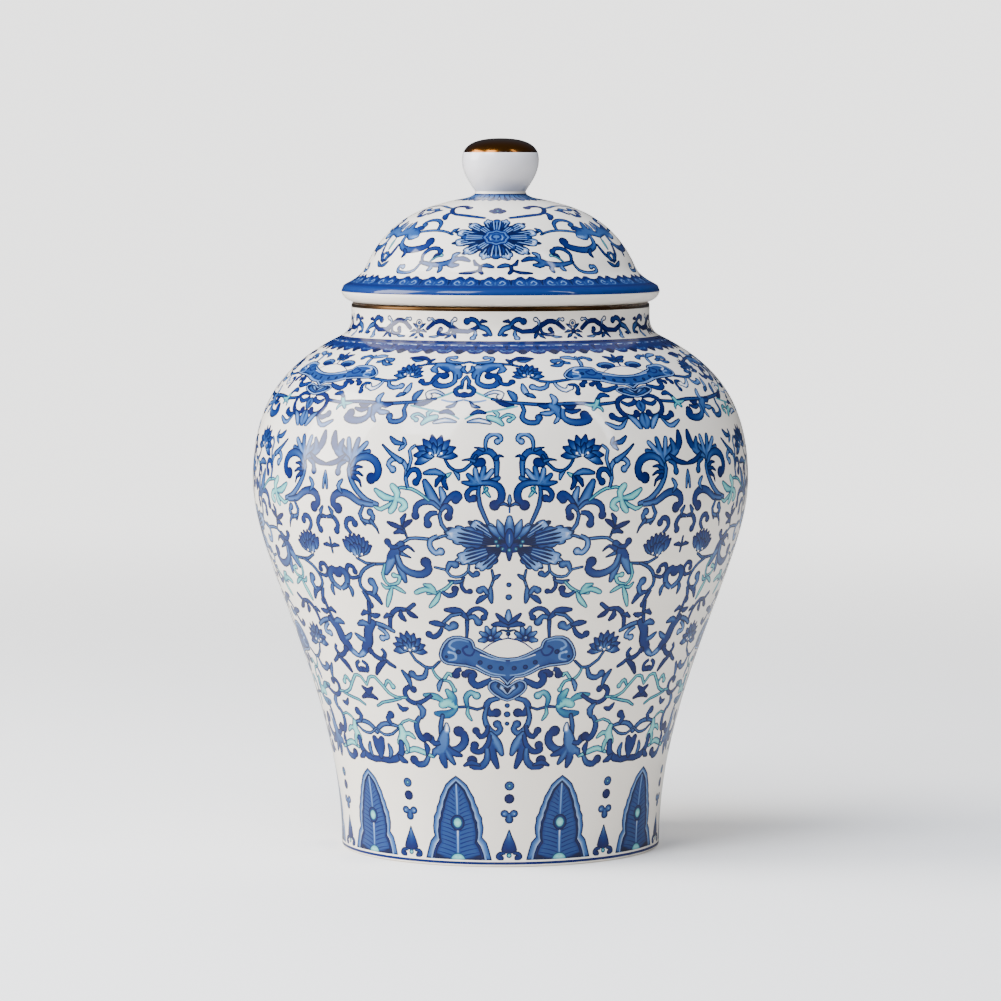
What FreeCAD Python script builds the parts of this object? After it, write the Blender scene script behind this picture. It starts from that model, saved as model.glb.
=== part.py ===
import FreeCAD, Part
import math
import os

# Lidded ginger jar in porcelain, in millimetres.
# The origin is the centre of the foot, +Z is the jar's axis and points to the knob.
# Every piece is turned about that axis, so each one is an outline of (radius, height) points.

# Jar
foot_radius = 58.7
foot_edge_round = 0.9
foot_ring_width = 5.5
foot_recess = 4.0
base_thickness = 5.5
floor_round = 9.0
belly_radius = 91.2
belly_height = 135.5
shoulder_rise = 53.1
shoulder_slope = 26.0
neck_radius = 54.8
neck_cove_reach = 3.4
neck_cove_rise = 6.4
neck_rise = 12.0
wall_thickness = 4.5
lip_round = 1.0

# Gilding
gilding_thickness = 0.25
mouth_gilding_height = 1.7
knob_gilding_height = 5.2

# Lid
collar_clearance = 0.8
collar_depth = 12.0
collar_wall = 3.5
collar_edge_round = 1.0
brim_overhang = 3.7
brim_height = 4.3
brim_edge_height = 2.6
brim_edge_inset = 1.9
seat_edge_inset = 0.8
dome_inset = 5.2
dome_spring_height = 12.8
dome_spring_slope = 66.0
crown_radius = 14.0
crown_height = 37.9
crown_slope = 10.0
lid_wall = 4.2

# Knob
knob_foot_radius = 9.3
knob_foot_height = 40.6
knob_radius = 14.1
knob_height = 19.4
knob_waist_slope = 58.0
knob_widest_height = 11.6

# How full each curve is: the length of its control arm as a share of the rise it crosses
foot_fullness = 0.425
belly_fullness = 0.225
shoulder_fullness = 0.545
shoulder_end_fullness = 0.44

# Heights and radii that follow from the sizes above
shoulder_height = belly_height + shoulder_rise
shoulder_radius = neck_radius + neck_cove_reach
mouth_height = shoulder_height + neck_rise
bore_radius = neck_radius - wall_thickness
floor_height = foot_recess + base_thickness
lip_radius = neck_radius - lip_round
collar_radius = bore_radius - collar_clearance
collar_bore_radius = collar_radius - collar_wall
collar_bottom = mouth_height - collar_depth
brim_radius = neck_radius + brim_overhang
brim_middle = mouth_height + brim_height
brim_top = brim_middle + brim_edge_height
brim_top_radius = brim_radius - brim_edge_inset
dome_radius = neck_radius - dome_inset
dome_spring = mouth_height + dome_spring_height
crown = mouth_height + crown_height
cavity_top = crown - lid_wall
knob_foot = mouth_height + knob_foot_height
knob_middle = knob_foot + knob_widest_height
knob_top = knob_foot + knob_height
gilding_line = knob_top - knob_gilding_height

curve_samples = 24


def at(radius, height):
    """A point of an outline."""
    return FreeCAD.Vector(radius, 0, height)


def heading(degrees):
    """The direction that climbs at this slope while it runs inwards, towards the axis."""
    angle = math.radians(degrees)
    return FreeCAD.Vector(-math.cos(angle), 0, math.sin(angle))


def line(start, end):
    return Part.LineSegment(start, end).toShape()


def arc(start, middle, end):
    return Part.Arc(start, middle, end).toShape()


def sweep(start, first_arm, second_arm, end):
    """A curve that leaves along the first arm and arrives along the second."""
    curve = Part.BezierCurve()
    curve.setPoles([start, start + first_arm, end - second_arm, end])
    return curve


def quarter_round(centre, radius, degrees):
    """A quarter circle that starts at this angle, measured from the outward direction."""
    points = []
    for step in (0, 45, 90):
        angle = math.radians(degrees + step)
        points.append(centre + FreeCAD.Vector(math.cos(angle), 0, math.sin(angle)) * radius)
    return arc(points[0], points[1], points[2])


def inset_points(curve, first, last, distance):
    """Points along a stretch of a curve, moved to its left by this distance."""
    points = []
    for step in range(curve_samples + 1):
        parameter = first + (last - first) * step / curve_samples
        tangent = curve.tangent(parameter)[0]
        left = FreeCAD.Vector(-tangent.z, 0, tangent.x)
        points.append(curve.value(parameter) + left * distance)
    return points


def smooth_edge(points):
    curve = Part.BSplineCurve()
    curve.interpolate(points)
    return curve.toShape()


def parameter_at_height(curve, height):
    """Where a climbing curve reaches this height."""
    low = 0.0
    high = 1.0
    for _ in range(60):
        middle = (low + high) / 2
        if curve.value(middle).z < height:
            low = middle
        else:
            high = middle
    return (low + high) / 2


def turned(edges):
    """The solid that a closed outline sweeps round the axis."""
    outline = Part.Wire(Part.__sortEdges__(edges))
    face = Part.Face(outline)
    solid = face.revolve(FreeCAD.Vector(0, 0, 0), FreeCAD.Vector(0, 0, 1), 360)
    return Part.Solid(solid.Shells[0])


def jar_curves():
    """The three curves of the jar's outside: foot to belly, belly to shoulder, shoulder to neck."""
    up = FreeCAD.Vector(0, 0, 1)
    slope = heading(shoulder_slope)
    foot = at(foot_radius, foot_edge_round)
    belly = at(belly_radius, belly_height)
    shoulder = at(shoulder_radius, shoulder_height)
    neck = at(neck_radius, shoulder_height + neck_cove_rise)
    lower_rise = belly_height - foot_edge_round
    lower = sweep(foot, up * lower_rise * foot_fullness, up * lower_rise * belly_fullness, belly)
    upper = sweep(belly, up * shoulder_rise * shoulder_fullness,
                  slope * shoulder_rise * shoulder_end_fullness, shoulder)
    cove = sweep(shoulder, slope * neck_cove_reach * 0.55, up * neck_cove_rise * 0.5, neck)
    return [lower, upper, cove]


def mouth_gilding_edges(depth):
    """The outside of the lip, at this depth under the gilding, and the point where it ends."""
    bottom = at(neck_radius - depth, mouth_height - mouth_gilding_height)
    lip_centre = at(lip_radius, mouth_height - lip_round)
    turn = at(neck_radius - depth, mouth_height - lip_round)
    return [line(bottom, turn), quarter_round(lip_centre, lip_round - depth, 0)]


def jar_body():
    """The cast body: foot ring, belly, shoulder, neck and the lip that the lid sits on."""
    curves = jar_curves()
    lower, upper, cove = curves
    axis_floor = at(0, floor_height)
    axis_base = at(0, foot_recess)
    recess_radius = foot_radius - foot_ring_width
    edges = [curve.toShape() for curve in curves]

    # Outside of the neck, up to the gilding, and the lip's flat top
    gilding_foot = mouth_height - mouth_gilding_height
    edges.append(line(cove.value(1), at(neck_radius, gilding_foot)))
    edges.append(line(at(neck_radius, gilding_foot), at(neck_radius - gilding_thickness, gilding_foot)))
    edges.extend(mouth_gilding_edges(gilding_thickness))
    edges.append(line(at(lip_radius, mouth_height - gilding_thickness), at(lip_radius, mouth_height)))
    edges.append(line(at(lip_radius, mouth_height), at(bore_radius + lip_round, mouth_height)))
    edges.append(quarter_round(at(bore_radius + lip_round, mouth_height - lip_round), lip_round, 90))

    # Inside: the outside's curves moved in by the wall, down to the rounded floor
    floor_start = parameter_at_height(lower, floor_height + floor_round)
    neck_inner = inset_points(cove, 0, 1, wall_thickness)
    shoulder_inner = inset_points(upper, 0, 1, wall_thickness)
    wall_inner = inset_points(lower, floor_start, 1, wall_thickness)
    edges.append(line(at(bore_radius, mouth_height - lip_round), neck_inner[-1]))
    edges.append(smooth_edge(neck_inner))
    edges.append(smooth_edge(shoulder_inner))
    edges.append(smooth_edge(wall_inner))
    side = wall_inner[0]
    floor_edge = at(side.x - floor_round, floor_height)
    down = side - wall_inner[1]
    down.normalize()
    corner = sweep(side, down * floor_round * 0.55, FreeCAD.Vector(-floor_round * 0.55, 0, 0), floor_edge)
    edges.append(corner.toShape())
    edges.append(line(floor_edge, axis_floor))
    edges.append(line(axis_floor, axis_base))

    # Underside: the recess, the foot ring and its rounded outer edge
    edges.append(line(axis_base, at(recess_radius, foot_recess)))
    edges.append(line(at(recess_radius, foot_recess), at(recess_radius, 0)))
    edges.append(line(at(recess_radius, 0), at(foot_radius - foot_edge_round, 0)))
    foot_centre = at(foot_radius - foot_edge_round, foot_edge_round)
    edges.append(quarter_round(foot_centre, foot_edge_round, -90))
    return turned(edges)


def mouth_gilding():
    """The gold line round the outside of the lip."""
    edges = mouth_gilding_edges(0)
    edges.extend(mouth_gilding_edges(gilding_thickness))
    bottom = mouth_height - mouth_gilding_height
    edges.append(line(at(neck_radius, bottom), at(neck_radius - gilding_thickness, bottom)))
    edges.append(line(at(lip_radius, mouth_height), at(lip_radius, mouth_height - gilding_thickness)))
    return turned(edges)


def lid():
    """The domed lid: a collar inside the mouth, a brim that rests on the lip and the dome's shell."""
    up = FreeCAD.Vector(0, 0, 1)
    out = FreeCAD.Vector(1, 0, 0)
    spring = heading(dome_spring_slope)
    crown_heading = heading(crown_slope)
    brim_heading = heading(25)
    seat_end = at(lip_radius - seat_edge_inset, mouth_height)
    brim_side = at(brim_radius, brim_middle)
    brim_end = at(brim_top_radius, brim_top)
    dome_start = at(dome_radius, dome_spring)
    crown_edge = at(crown_radius, crown)
    knob_edge = at(knob_foot_radius, knob_foot)
    cove_run = brim_top_radius - dome_radius
    dome_rise = crown - dome_spring
    dome_run = dome_radius - crown_radius
    crown_run = crown_radius - knob_foot_radius

    # Outside, from the seat to the knob
    edges = [line(at(collar_radius, mouth_height), seat_end)]
    edges.append(sweep(seat_end, out * 2.4, up * brim_height * 0.55, brim_side).toShape())
    edges.append(sweep(brim_side, up * brim_edge_height * 0.6, brim_heading * 1.3, brim_end).toShape())
    edges.append(sweep(brim_end, brim_heading * cove_run * 0.4, spring * cove_run * 0.4, dome_start).toShape())
    edges.append(sweep(dome_start, spring * dome_rise * 0.68, crown_heading * dome_run * 0.5,
                       crown_edge).toShape())
    edges.append(sweep(crown_edge, crown_heading * crown_run * 0.6, up * crown_run * 0.35,
                       knob_edge).toShape())
    edges.append(line(knob_edge, at(0, knob_foot)))

    # Inside, from the cavity's top to the collar
    cavity_side = at(collar_bore_radius, dome_spring)
    cavity_rise = cavity_top - dome_spring
    edges.append(line(at(0, knob_foot), at(0, cavity_top)))
    edges.append(sweep(at(0, cavity_top), out * collar_bore_radius * 0.6, up * -cavity_rise * 0.52,
                       cavity_side).toShape())
    edges.append(line(cavity_side, at(collar_bore_radius, collar_bottom)))
    edges.append(line(at(collar_bore_radius, collar_bottom),
                      at(collar_radius - collar_edge_round, collar_bottom)))
    edges.append(quarter_round(at(collar_radius - collar_edge_round, collar_bottom + collar_edge_round),
                               collar_edge_round, -90))
    edges.append(line(at(collar_radius, collar_bottom + collar_edge_round), at(collar_radius, mouth_height)))
    return turned(edges)


def knob_curves():
    """The knob's two curves: foot to its widest, and its widest to the top."""
    up = FreeCAD.Vector(0, 0, 1)
    foot = at(knob_foot_radius, knob_foot)
    widest = at(knob_radius, knob_middle)
    top = at(0, knob_top)
    angle = math.radians(knob_waist_slope)
    outwards = FreeCAD.Vector(math.cos(angle), 0, math.sin(angle))
    cap_rise = knob_top - knob_middle
    lower = sweep(foot, outwards * knob_widest_height * 0.35, up * knob_widest_height * 0.42, widest)
    upper = sweep(widest, up * cap_rise * 0.66, FreeCAD.Vector(-knob_radius * 0.7, 0, 0), top)
    return [lower, upper]


def gilding_cap_curves():
    """The gilded stretch of the knob's outside, and the same stretch under the gilding."""
    upper = knob_curves()[1]
    start = parameter_at_height(upper, gilding_line)
    outer = upper.toShape(start, 1)
    inner_points = inset_points(upper, start, 1, gilding_thickness)
    inner = smooth_edge(inner_points)
    return upper, start, outer, inner, inner_points


def knob():
    """The solid finger knob, luted to the lid's crown."""
    lower = knob_curves()[0]
    upper, start, _, inner, inner_points = gilding_cap_curves()
    foot = at(0, knob_foot)
    edges = [line(foot, lower.value(0)), lower.toShape(), upper.toShape(0, start)]
    edges.append(line(upper.value(start), inner_points[0]))
    edges.append(inner)
    edges.append(line(inner_points[-1], foot))
    return turned(edges)


def knob_gilding():
    """The gold lustre over the top of the knob."""
    upper, start, outer, inner, inner_points = gilding_cap_curves()
    edges = [outer, inner]
    edges.append(line(upper.value(start), inner_points[0]))
    edges.append(line(inner_points[-1], at(0, knob_top)))
    return turned(edges)


def main():
    os.makedirs("parts", exist_ok=True)
    pieces = {
        "jar_body": jar_body(),
        "mouth_gilding": mouth_gilding(),
        "lid": lid(),
        "knob": knob(),
        "knob_gilding": knob_gilding(),
    }
    for name, solid in pieces.items():
        box = solid.BoundBox
        print(name, "valid" if solid.isValid() else "NOT VALID", "volume", round(solid.Volume / 1000, 2),
              "cm3, z", round(box.ZMin, 2), "to", round(box.ZMax, 2), "radius", round(box.XMax, 2))
        solid.exportStep("parts/" + name + ".step")


main()
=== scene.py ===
import math
import random
import bpy
import numpy as np
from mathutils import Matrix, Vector
from mathutils.geometry import delaunay_2d_cdt


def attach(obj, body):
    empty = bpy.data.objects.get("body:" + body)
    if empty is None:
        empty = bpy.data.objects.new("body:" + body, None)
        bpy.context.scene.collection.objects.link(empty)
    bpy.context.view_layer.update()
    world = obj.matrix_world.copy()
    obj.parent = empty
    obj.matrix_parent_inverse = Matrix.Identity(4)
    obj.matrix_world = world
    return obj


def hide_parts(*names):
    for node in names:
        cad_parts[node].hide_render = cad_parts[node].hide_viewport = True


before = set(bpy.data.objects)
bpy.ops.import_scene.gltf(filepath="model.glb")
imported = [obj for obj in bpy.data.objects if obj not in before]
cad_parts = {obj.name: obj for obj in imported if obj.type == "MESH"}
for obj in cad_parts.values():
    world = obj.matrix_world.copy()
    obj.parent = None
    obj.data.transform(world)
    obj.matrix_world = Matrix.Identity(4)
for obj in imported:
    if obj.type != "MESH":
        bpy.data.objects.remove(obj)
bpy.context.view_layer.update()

mm = 0.001
fineRing = 360       # points round the painted skin, one each degree
coarseRing = 120     # points round the hidden inside
facesFront = -90.0   # degrees, where a skin's own 0 degrees stands
ringTurn, ringGap = 9.0, 6.0         # degrees of turn and mm between one ring and the next, at most
gridCell = 5.0       # mm, spacing of the spots that keep bare ground's triangles small
seamStep = 3.6       # mm, spacing of the corners that neighbouring half periods share
inset = 0.12         # mm that painting stays clear of a band's edges
sameSpot = 2000      # corners nearer than one such part of a mm or a degree are one
bareGlaze = (0.0, 1.0, 0.0, 1.0)     # density of cobalt, depth into the shape, turquoise, outlined


def walkOutline(node, startNear):
    # a turned piece's outline in the half plane y = 0, in mm, from the free end nearest to startNear
    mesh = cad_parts[node].data
    spots = np.round(np.array([v.co for v in mesh.vertices]) / mm, 4)
    onPlane = (np.abs(spots[:, 1]) < 0.001) & (spots[:, 0] > -0.001)
    links = {}
    for edge in mesh.edges:
        a, b = edge.vertices
        if onPlane[a] and onPlane[b]:
            first = (spots[a][0], spots[a][2])
            second = (spots[b][0], spots[b][2])
            if first != second:
                links.setdefault(first, set()).add(second)
                links.setdefault(second, set()).add(first)
    freeEnds = {p for p in links if len(links[p]) == 1}
    here = min(freeEnds, key=lambda p: math.dist(p, startNear))
    walked = [here]
    left = set(links) - {here}
    freeEnds.discard(here)
    while left:
        ahead = links[here] & left
        if not ahead:       # a flat face has no edge in this plane, so step across it
            level = [p for p in freeEnds & left if abs(p[1] - here[1]) < 0.01]
            ahead = [min(level, key=lambda p: math.dist(p, here))] if level else []
        if not ahead:
            break
        here = min(ahead, key=lambda p: math.dist(p, here))
        walked.append(here)
        left.discard(here)
        freeEnds.discard(here)
    return walked


class Outline:
    # smooth stretches between sharp corners, sampled finely, with the outward side on the right
    def __init__(self, points, cornerDegrees=28.0, step=0.2):
        points = np.array(points, float)
        runs = np.diff(points, axis=0)
        lengths = np.hypot(runs[:, 0], runs[:, 1])
        headings = np.unwrap(np.arctan2(runs[:, 1], runs[:, 0]))
        turns = np.abs(np.degrees(np.diff(headings)))
        corners = [0] + [i + 1 for i, turn in enumerate(turns) if turn > cornerDegrees] + [len(points) - 1]
        places = np.concatenate([[0], np.cumsum(lengths)])
        self.stretches = []
        for first, last in zip(corners[:-1], corners[1:]):
            self.stretches.append(self.sample(points[first:last + 1], places[first:last + 1], step))
        self.length = places[-1]

    def sample(self, points, places, step):
        slopes = np.gradient(points, places, axis=0) if len(points) > 2 else \
            np.repeat((points[1:] - points[:1]) / (places[1] - places[0]), 2, axis=0)
        along = np.linspace(places[0], places[-1], max(3, int((places[-1] - places[0]) / step) + 2))
        i = np.clip(np.searchsorted(places, along) - 1, 0, len(places) - 2)
        span = places[i + 1] - places[i]
        u = ((along - places[i]) / span)[:, None]
        span = span[:, None]
        spots = ((2 * u**3 - 3 * u**2 + 1) * points[i] + (u**3 - 2 * u**2 + u) * span * slopes[i]
                 + (-2 * u**3 + 3 * u**2) * points[i + 1] + (u**3 - u**2) * span * slopes[i + 1])
        tangent = np.gradient(spots, along, axis=0)
        tangent /= np.hypot(tangent[:, 0], tangent[:, 1])[:, None]
        return {"along": along, "spots": spots, "normal": np.stack([tangent[:, 1], -tangent[:, 0]], 1)}

    def spot(self, along):
        whole = np.concatenate([s["along"] for s in self.stretches])
        spots = np.concatenate([s["spots"] for s in self.stretches])
        return tuple(np.interp(along, whole, spots[:, axis]) for axis in (0, 1))

    def normal(self, stretch, along):
        s = self.stretches[stretch]
        return tuple(np.interp(along, s["along"], s["normal"][:, axis]) for axis in (0, 1))

    def stretchAt(self, along):
        for number, s in enumerate(self.stretches):
            if s["along"][0] - 1e-6 <= along <= s["along"][-1] + 1e-6:
                return number
        return len(self.stretches) - 1

    def alongAtHeight(self, stretch, height, leastRadius):
        s = self.stretches[stretch]
        upper = (s["spots"][:, 0] > leastRadius) & (s["spots"][:, 1] > height - 5)
        return float(np.interp(height, s["spots"][upper, 1], s["along"][upper]))

    def rows(self, low, high):
        # ring positions between two places of one stretch, closer where it turns
        s = self.stretches[self.stretchAt((low + high) / 2)]
        angle = np.unwrap(np.arctan2(s["normal"][:, 1], s["normal"][:, 0]))
        inside = (s["along"] > low) & (s["along"] < high)
        rows = [low]
        lastAngle = np.interp(low, s["along"], angle)
        for place, turned in zip(s["along"][inside], angle[inside]):
            if abs(math.degrees(turned - lastAngle)) > ringTurn or place - rows[-1] > ringGap:
                rows.append(float(place))
                lastAngle = turned
        if len(rows) > 1 and high - rows[-1] < 0.15:
            rows.pop()
        rows.append(high)
        return rows


class Skin:
    # triangles of (degrees round, mm along the outline), with the paint at each corner
    def __init__(self, outline):
        self.outline = outline
        self.blocks = []

    def add(self, degrees, along, stretch, paint, chart, finish=0):
        count = len(degrees)
        self.blocks.append((degrees, along, np.full(count, stretch), paint, chart, np.full(count, finish)))

    def addRings(self, low, high, lowCount, highCount, paint=bareGlaze, finish=0):
        # one strip of triangles; the counts are equal, one is three times the other, or one is 0 at the axis
        stretch = self.outline.stretchAt((low + high) / 2)
        few = min(c for c in (lowCount, highCount) if c > 0)
        cell = 360.0 / few
        cut = max(lowCount, highCount) // few
        fine = [cell * i / cut for i in range(cut + 1)]
        if lowCount == 0 or highCount == 0:
            triangles = [[(0.0, low), (cell, high), (0.0, high)]] if lowCount == 0 else \
                [[(0.0, low), (cell, low), (0.0, high)]]
        elif cut == 1:
            triangles = [[(0.0, low), (cell, low), (cell, high)], [(0.0, low), (cell, high), (0.0, high)]]
        elif lowCount > highCount:
            triangles = [[(fine[0], low), (fine[1], low), (0.0, high)],
                         [(fine[1], low), (fine[2], low), (0.0, high)],
                         [(fine[2], low), (cell, high), (0.0, high)],
                         [(fine[2], low), (fine[3], low), (cell, high)]]
        else:
            triangles = [[(0.0, low), (fine[1], high), (0.0, high)],
                         [(0.0, low), (fine[2], high), (fine[1], high)],
                         [(0.0, low), (cell, low), (fine[2], high)],
                         [(cell, low), (fine[3], high), (fine[2], high)]]
        block = np.array(triangles, float)
        turned = np.repeat(block[None], few, axis=0)
        turned[..., 0] += (np.arange(few) * cell)[:, None, None]
        turned = turned.reshape(-1, 3, 2)
        count = len(turned)
        paints = np.broadcast_to(np.array(paint, float), (count, 3, 4)).copy()
        # each plain colour has one small triangle of its own in the corner of the OFBake map
        corner = np.array([0.975, 0.965 + 0.03 * (paint[0] == 0)])
        chart = np.broadcast_to(corner + np.array([[0, 0], [0.01, 0], [0, 0.01]]), (count, 3, 2)).copy()
        self.add(turned[..., 0], turned[..., 1], stretch, paints, chart, finish)

    def addPlain(self, low, high, count, paint=bareGlaze, finish=0):
        # rings of one colour from low to high, through every stretch between
        for s in self.outline.stretches:
            first, last = max(low, s["along"][0]), min(high, s["along"][-1])
            if last - first > 0.01:
                rows = self.outline.rows(first, last)
                for a, b in zip(rows[:-1], rows[1:]):
                    self.addRings(a, b, count, count, paint, finish)

    def addBand(self, band, axis, periods, half):
        # a half period, mirrored about its axis and repeated round the piece
        stretch = self.outline.stretchAt((band["low"] + band["high"]) / 2)
        for number in range(periods):
            middle = axis + 2.0 * half * number
            self.add(middle + band["degrees"], band["along"], stretch, band["paint"], band["chart"])
            self.add((middle - band["degrees"])[:, ::-1], band["along"][:, ::-1], stretch,
                     band["paint"][:, ::-1], band["chart"][:, ::-1])

    def build(self, name):
        degrees, along, stretch, paint, chart, finish = (np.concatenate(part) for part in zip(*self.blocks))
        radius, height = self.outline.spot(along)
        keys = [np.round(along * sameSpot), np.round(degrees * sameSpot) % (360 * sameSpot)]
        keys = np.stack(keys, -1).astype(np.int64)
        keys[radius < 1e-4, 1] = 0
        _, firstAt, corner = np.unique(keys.reshape(-1, 2), axis=0, return_index=True, return_inverse=True)
        corner = corner.reshape(-1, 3)
        turn = np.radians(degrees + facesFront)
        spots = np.stack([radius * np.cos(turn), radius * np.sin(turn), height], -1)
        spots = spots.reshape(-1, 3)[firstAt] * mm
        normal = np.zeros(degrees.shape + (3,))
        for number in range(len(self.outline.stretches)):
            here = stretch == number
            outward, upward = self.outline.normal(number, along[here])
            normal[here] = np.stack([outward * np.cos(turn[here]), outward * np.sin(turn[here]), upward], -1)
        whole = (corner != np.roll(corner, 1, axis=1)).all(1)
        corner, normal, paint, chart = corner[whole], normal[whole], paint[whole], chart[whole]
        mesh = bpy.data.meshes.new(name)
        mesh.from_pydata(spots.tolist(), [], corner.tolist())
        glaze = mesh.color_attributes.new("glaze", "FLOAT_COLOR", "CORNER")
        glaze.data.foreach_set("color", paint.reshape(-1))
        bakeMap = mesh.uv_layers.new(name="OFBake")
        bakeMap.data.foreach_set("uv", chart.reshape(-1))
        mesh.polygons.foreach_set("material_index", finish[whole])
        mesh.polygons.foreach_set("use_smooth", [True] * len(mesh.polygons))
        mesh.normals_split_custom_set(normal.reshape(-1, 3).tolist())
        mesh.update()
        piece = bpy.data.objects.new(name, mesh)
        bpy.context.scene.collection.objects.link(piece)
        print(name, "skin:", len(mesh.polygons), "triangles")
        return piece


# density of the cobalt at a stroke's start and end, and its share of turquoise
tones = {
    "ink": (0.90, 1.0, 0.0),
    "deep": (0.74, 0.90, 0.0),
    "mid": (0.54, 0.62, 0.0),
    "rise": (0.50, 0.95, 0.0),
    "fall": (0.95, 0.34, 0.0),
    "soft": (0.44, 0.36, 0.0),
    "pale": (0.24, 0.14, 0.0),
    "turq": (0.34, 0.28, 1.0),
    "turqFall": (0.72, 0.30, 0.7),
    "petal": (0.12, 1.0, 0.0),
    "bare": (0.03, 0.03, 0.0),
}

# half width along each kind of stroke, as a share of the stroke's own, and the size of its end ball
strokeKinds = {
    "vine": (lambda s: 0.8 + 0.2 * np.sin(np.pi * s), 1.0),
    "curl": (lambda s: 0.5 + 0.5 * np.sin(np.pi * (0.1 + 0.6 * s)), 1.34),
    "leaf": (lambda s: np.sin(np.pi * (0.16 + 0.64 * s)), 1.0),
    "lobe": (lambda s: 0.55 + 0.45 * np.sin(np.pi * (0.1 + 0.65 * s)), 0.9),
    "spike": (lambda s: 1.0 - 0.62 * s, 1.0),
    "petal": (lambda s: np.maximum(0.08, np.sin(np.pi * (0.1 + 0.8 * s) ** 1.3)), 1.0),
    "dot": (lambda s: 1.0 + 0.0 * s, 1.0),
}

# strokes of a half width over fineStroke, in mm, are broadened: the rows give their inner wash
fineStroke = 0.46
broadening = {"vine": 1.42, "turquoise": 1.04, "other": 1.28}
outlinedFrom = 0.5   # mm, half width over which a stroke has its own dark line
roundedFrom = 0.55   # mm, half width over which a stroke starts with a round end too
deepestPaint = 1.5   # mm in from an edge, beyond which the paint's depth is no longer told
spread = random.Random(11)


def smoothPath(points, closed=False, step=4.0, bend=30.0):
    # a smooth path through a few given points, closer where it turns
    points = np.array(points, float)
    if len(points) == 2:
        count = max(2, int(math.dist(points[0], points[1]) / 3.0) + 1)
        return points[0] + (points[1] - points[0]) * np.linspace(0, 1, count + 1)[:, None]
    if closed:
        padded = np.concatenate([points[-1:], points, points[:2]])
    else:
        padded = np.concatenate([2 * points[:1] - points[1:2], points, 2 * points[-1:] - points[-2:-1]])
    path = []
    for i in range(1, len(padded) - 2):
        a, b, c, d = padded[i - 1:i + 3]
        gaps = [max(1e-3, math.dist(p, q)) ** 0.5 for p, q in ((a, b), (b, c), (c, d))]
        leaving = (b - a) / gaps[0] - (c - a) / (gaps[0] + gaps[1]) + (c - b) / gaps[1]
        arriving = (c - b) / gaps[1] - (d - b) / (gaps[1] + gaps[2]) + (d - c) / gaps[2]
        leaving, arriving = leaving * gaps[1], arriving * gaps[1]
        cross = leaving[0] * arriving[1] - leaving[1] * arriving[0]
        turn = abs(math.degrees(math.atan2(cross, float(leaving @ arriving))))
        count = int(max(1, math.ceil(max(turn / bend, math.dist(b, c) / step))))
        for u in np.arange(count) / count:
            path.append((2 * u**3 - 3 * u**2 + 1) * b + (u**3 - 2 * u**2 + u) * leaving
                        + (-2 * u**3 + 3 * u**2) * c + (u**3 - u**2) * arriving)
    if not closed:
        path.append(points[-1])
    return np.array(path)


def unitTangent(points, closed=False):
    run = np.roll(points, -1, axis=0) - np.roll(points, 1, axis=0) if closed else np.gradient(points, axis=0)
    return run / np.maximum(1e-6, np.hypot(run[:, 0], run[:, 1]))[:, None]


def nearestOnRuns(spots, a, b):
    # share along each straight run, and the distance to it, for spots of shape (n, 3, 2)
    run = b - a
    share = np.clip(((spots[..., None, :] - a) * run).sum(-1) / np.maximum(1e-9, (run * run).sum(-1)), 0, 1)
    away = spots[..., None, :] - (a + run * share[..., None])
    return share, np.hypot(away[..., 0], away[..., 1])


def insideShape(spots, border):
    # even-odd test of many spots against one closed border
    inside = np.zeros(len(spots), bool)
    x, y = spots[:, 0], spots[:, 1]
    for (x0, y0), (x1, y1) in zip(border, np.roll(border, -1, axis=0)):
        if y0 == y1:
            continue
        crosses = ((y0 > y) != (y1 > y)) & (x < (x1 - x0) * (y - y0) / (y1 - y0) + x0)
        inside ^= crosses
    return inside


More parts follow.
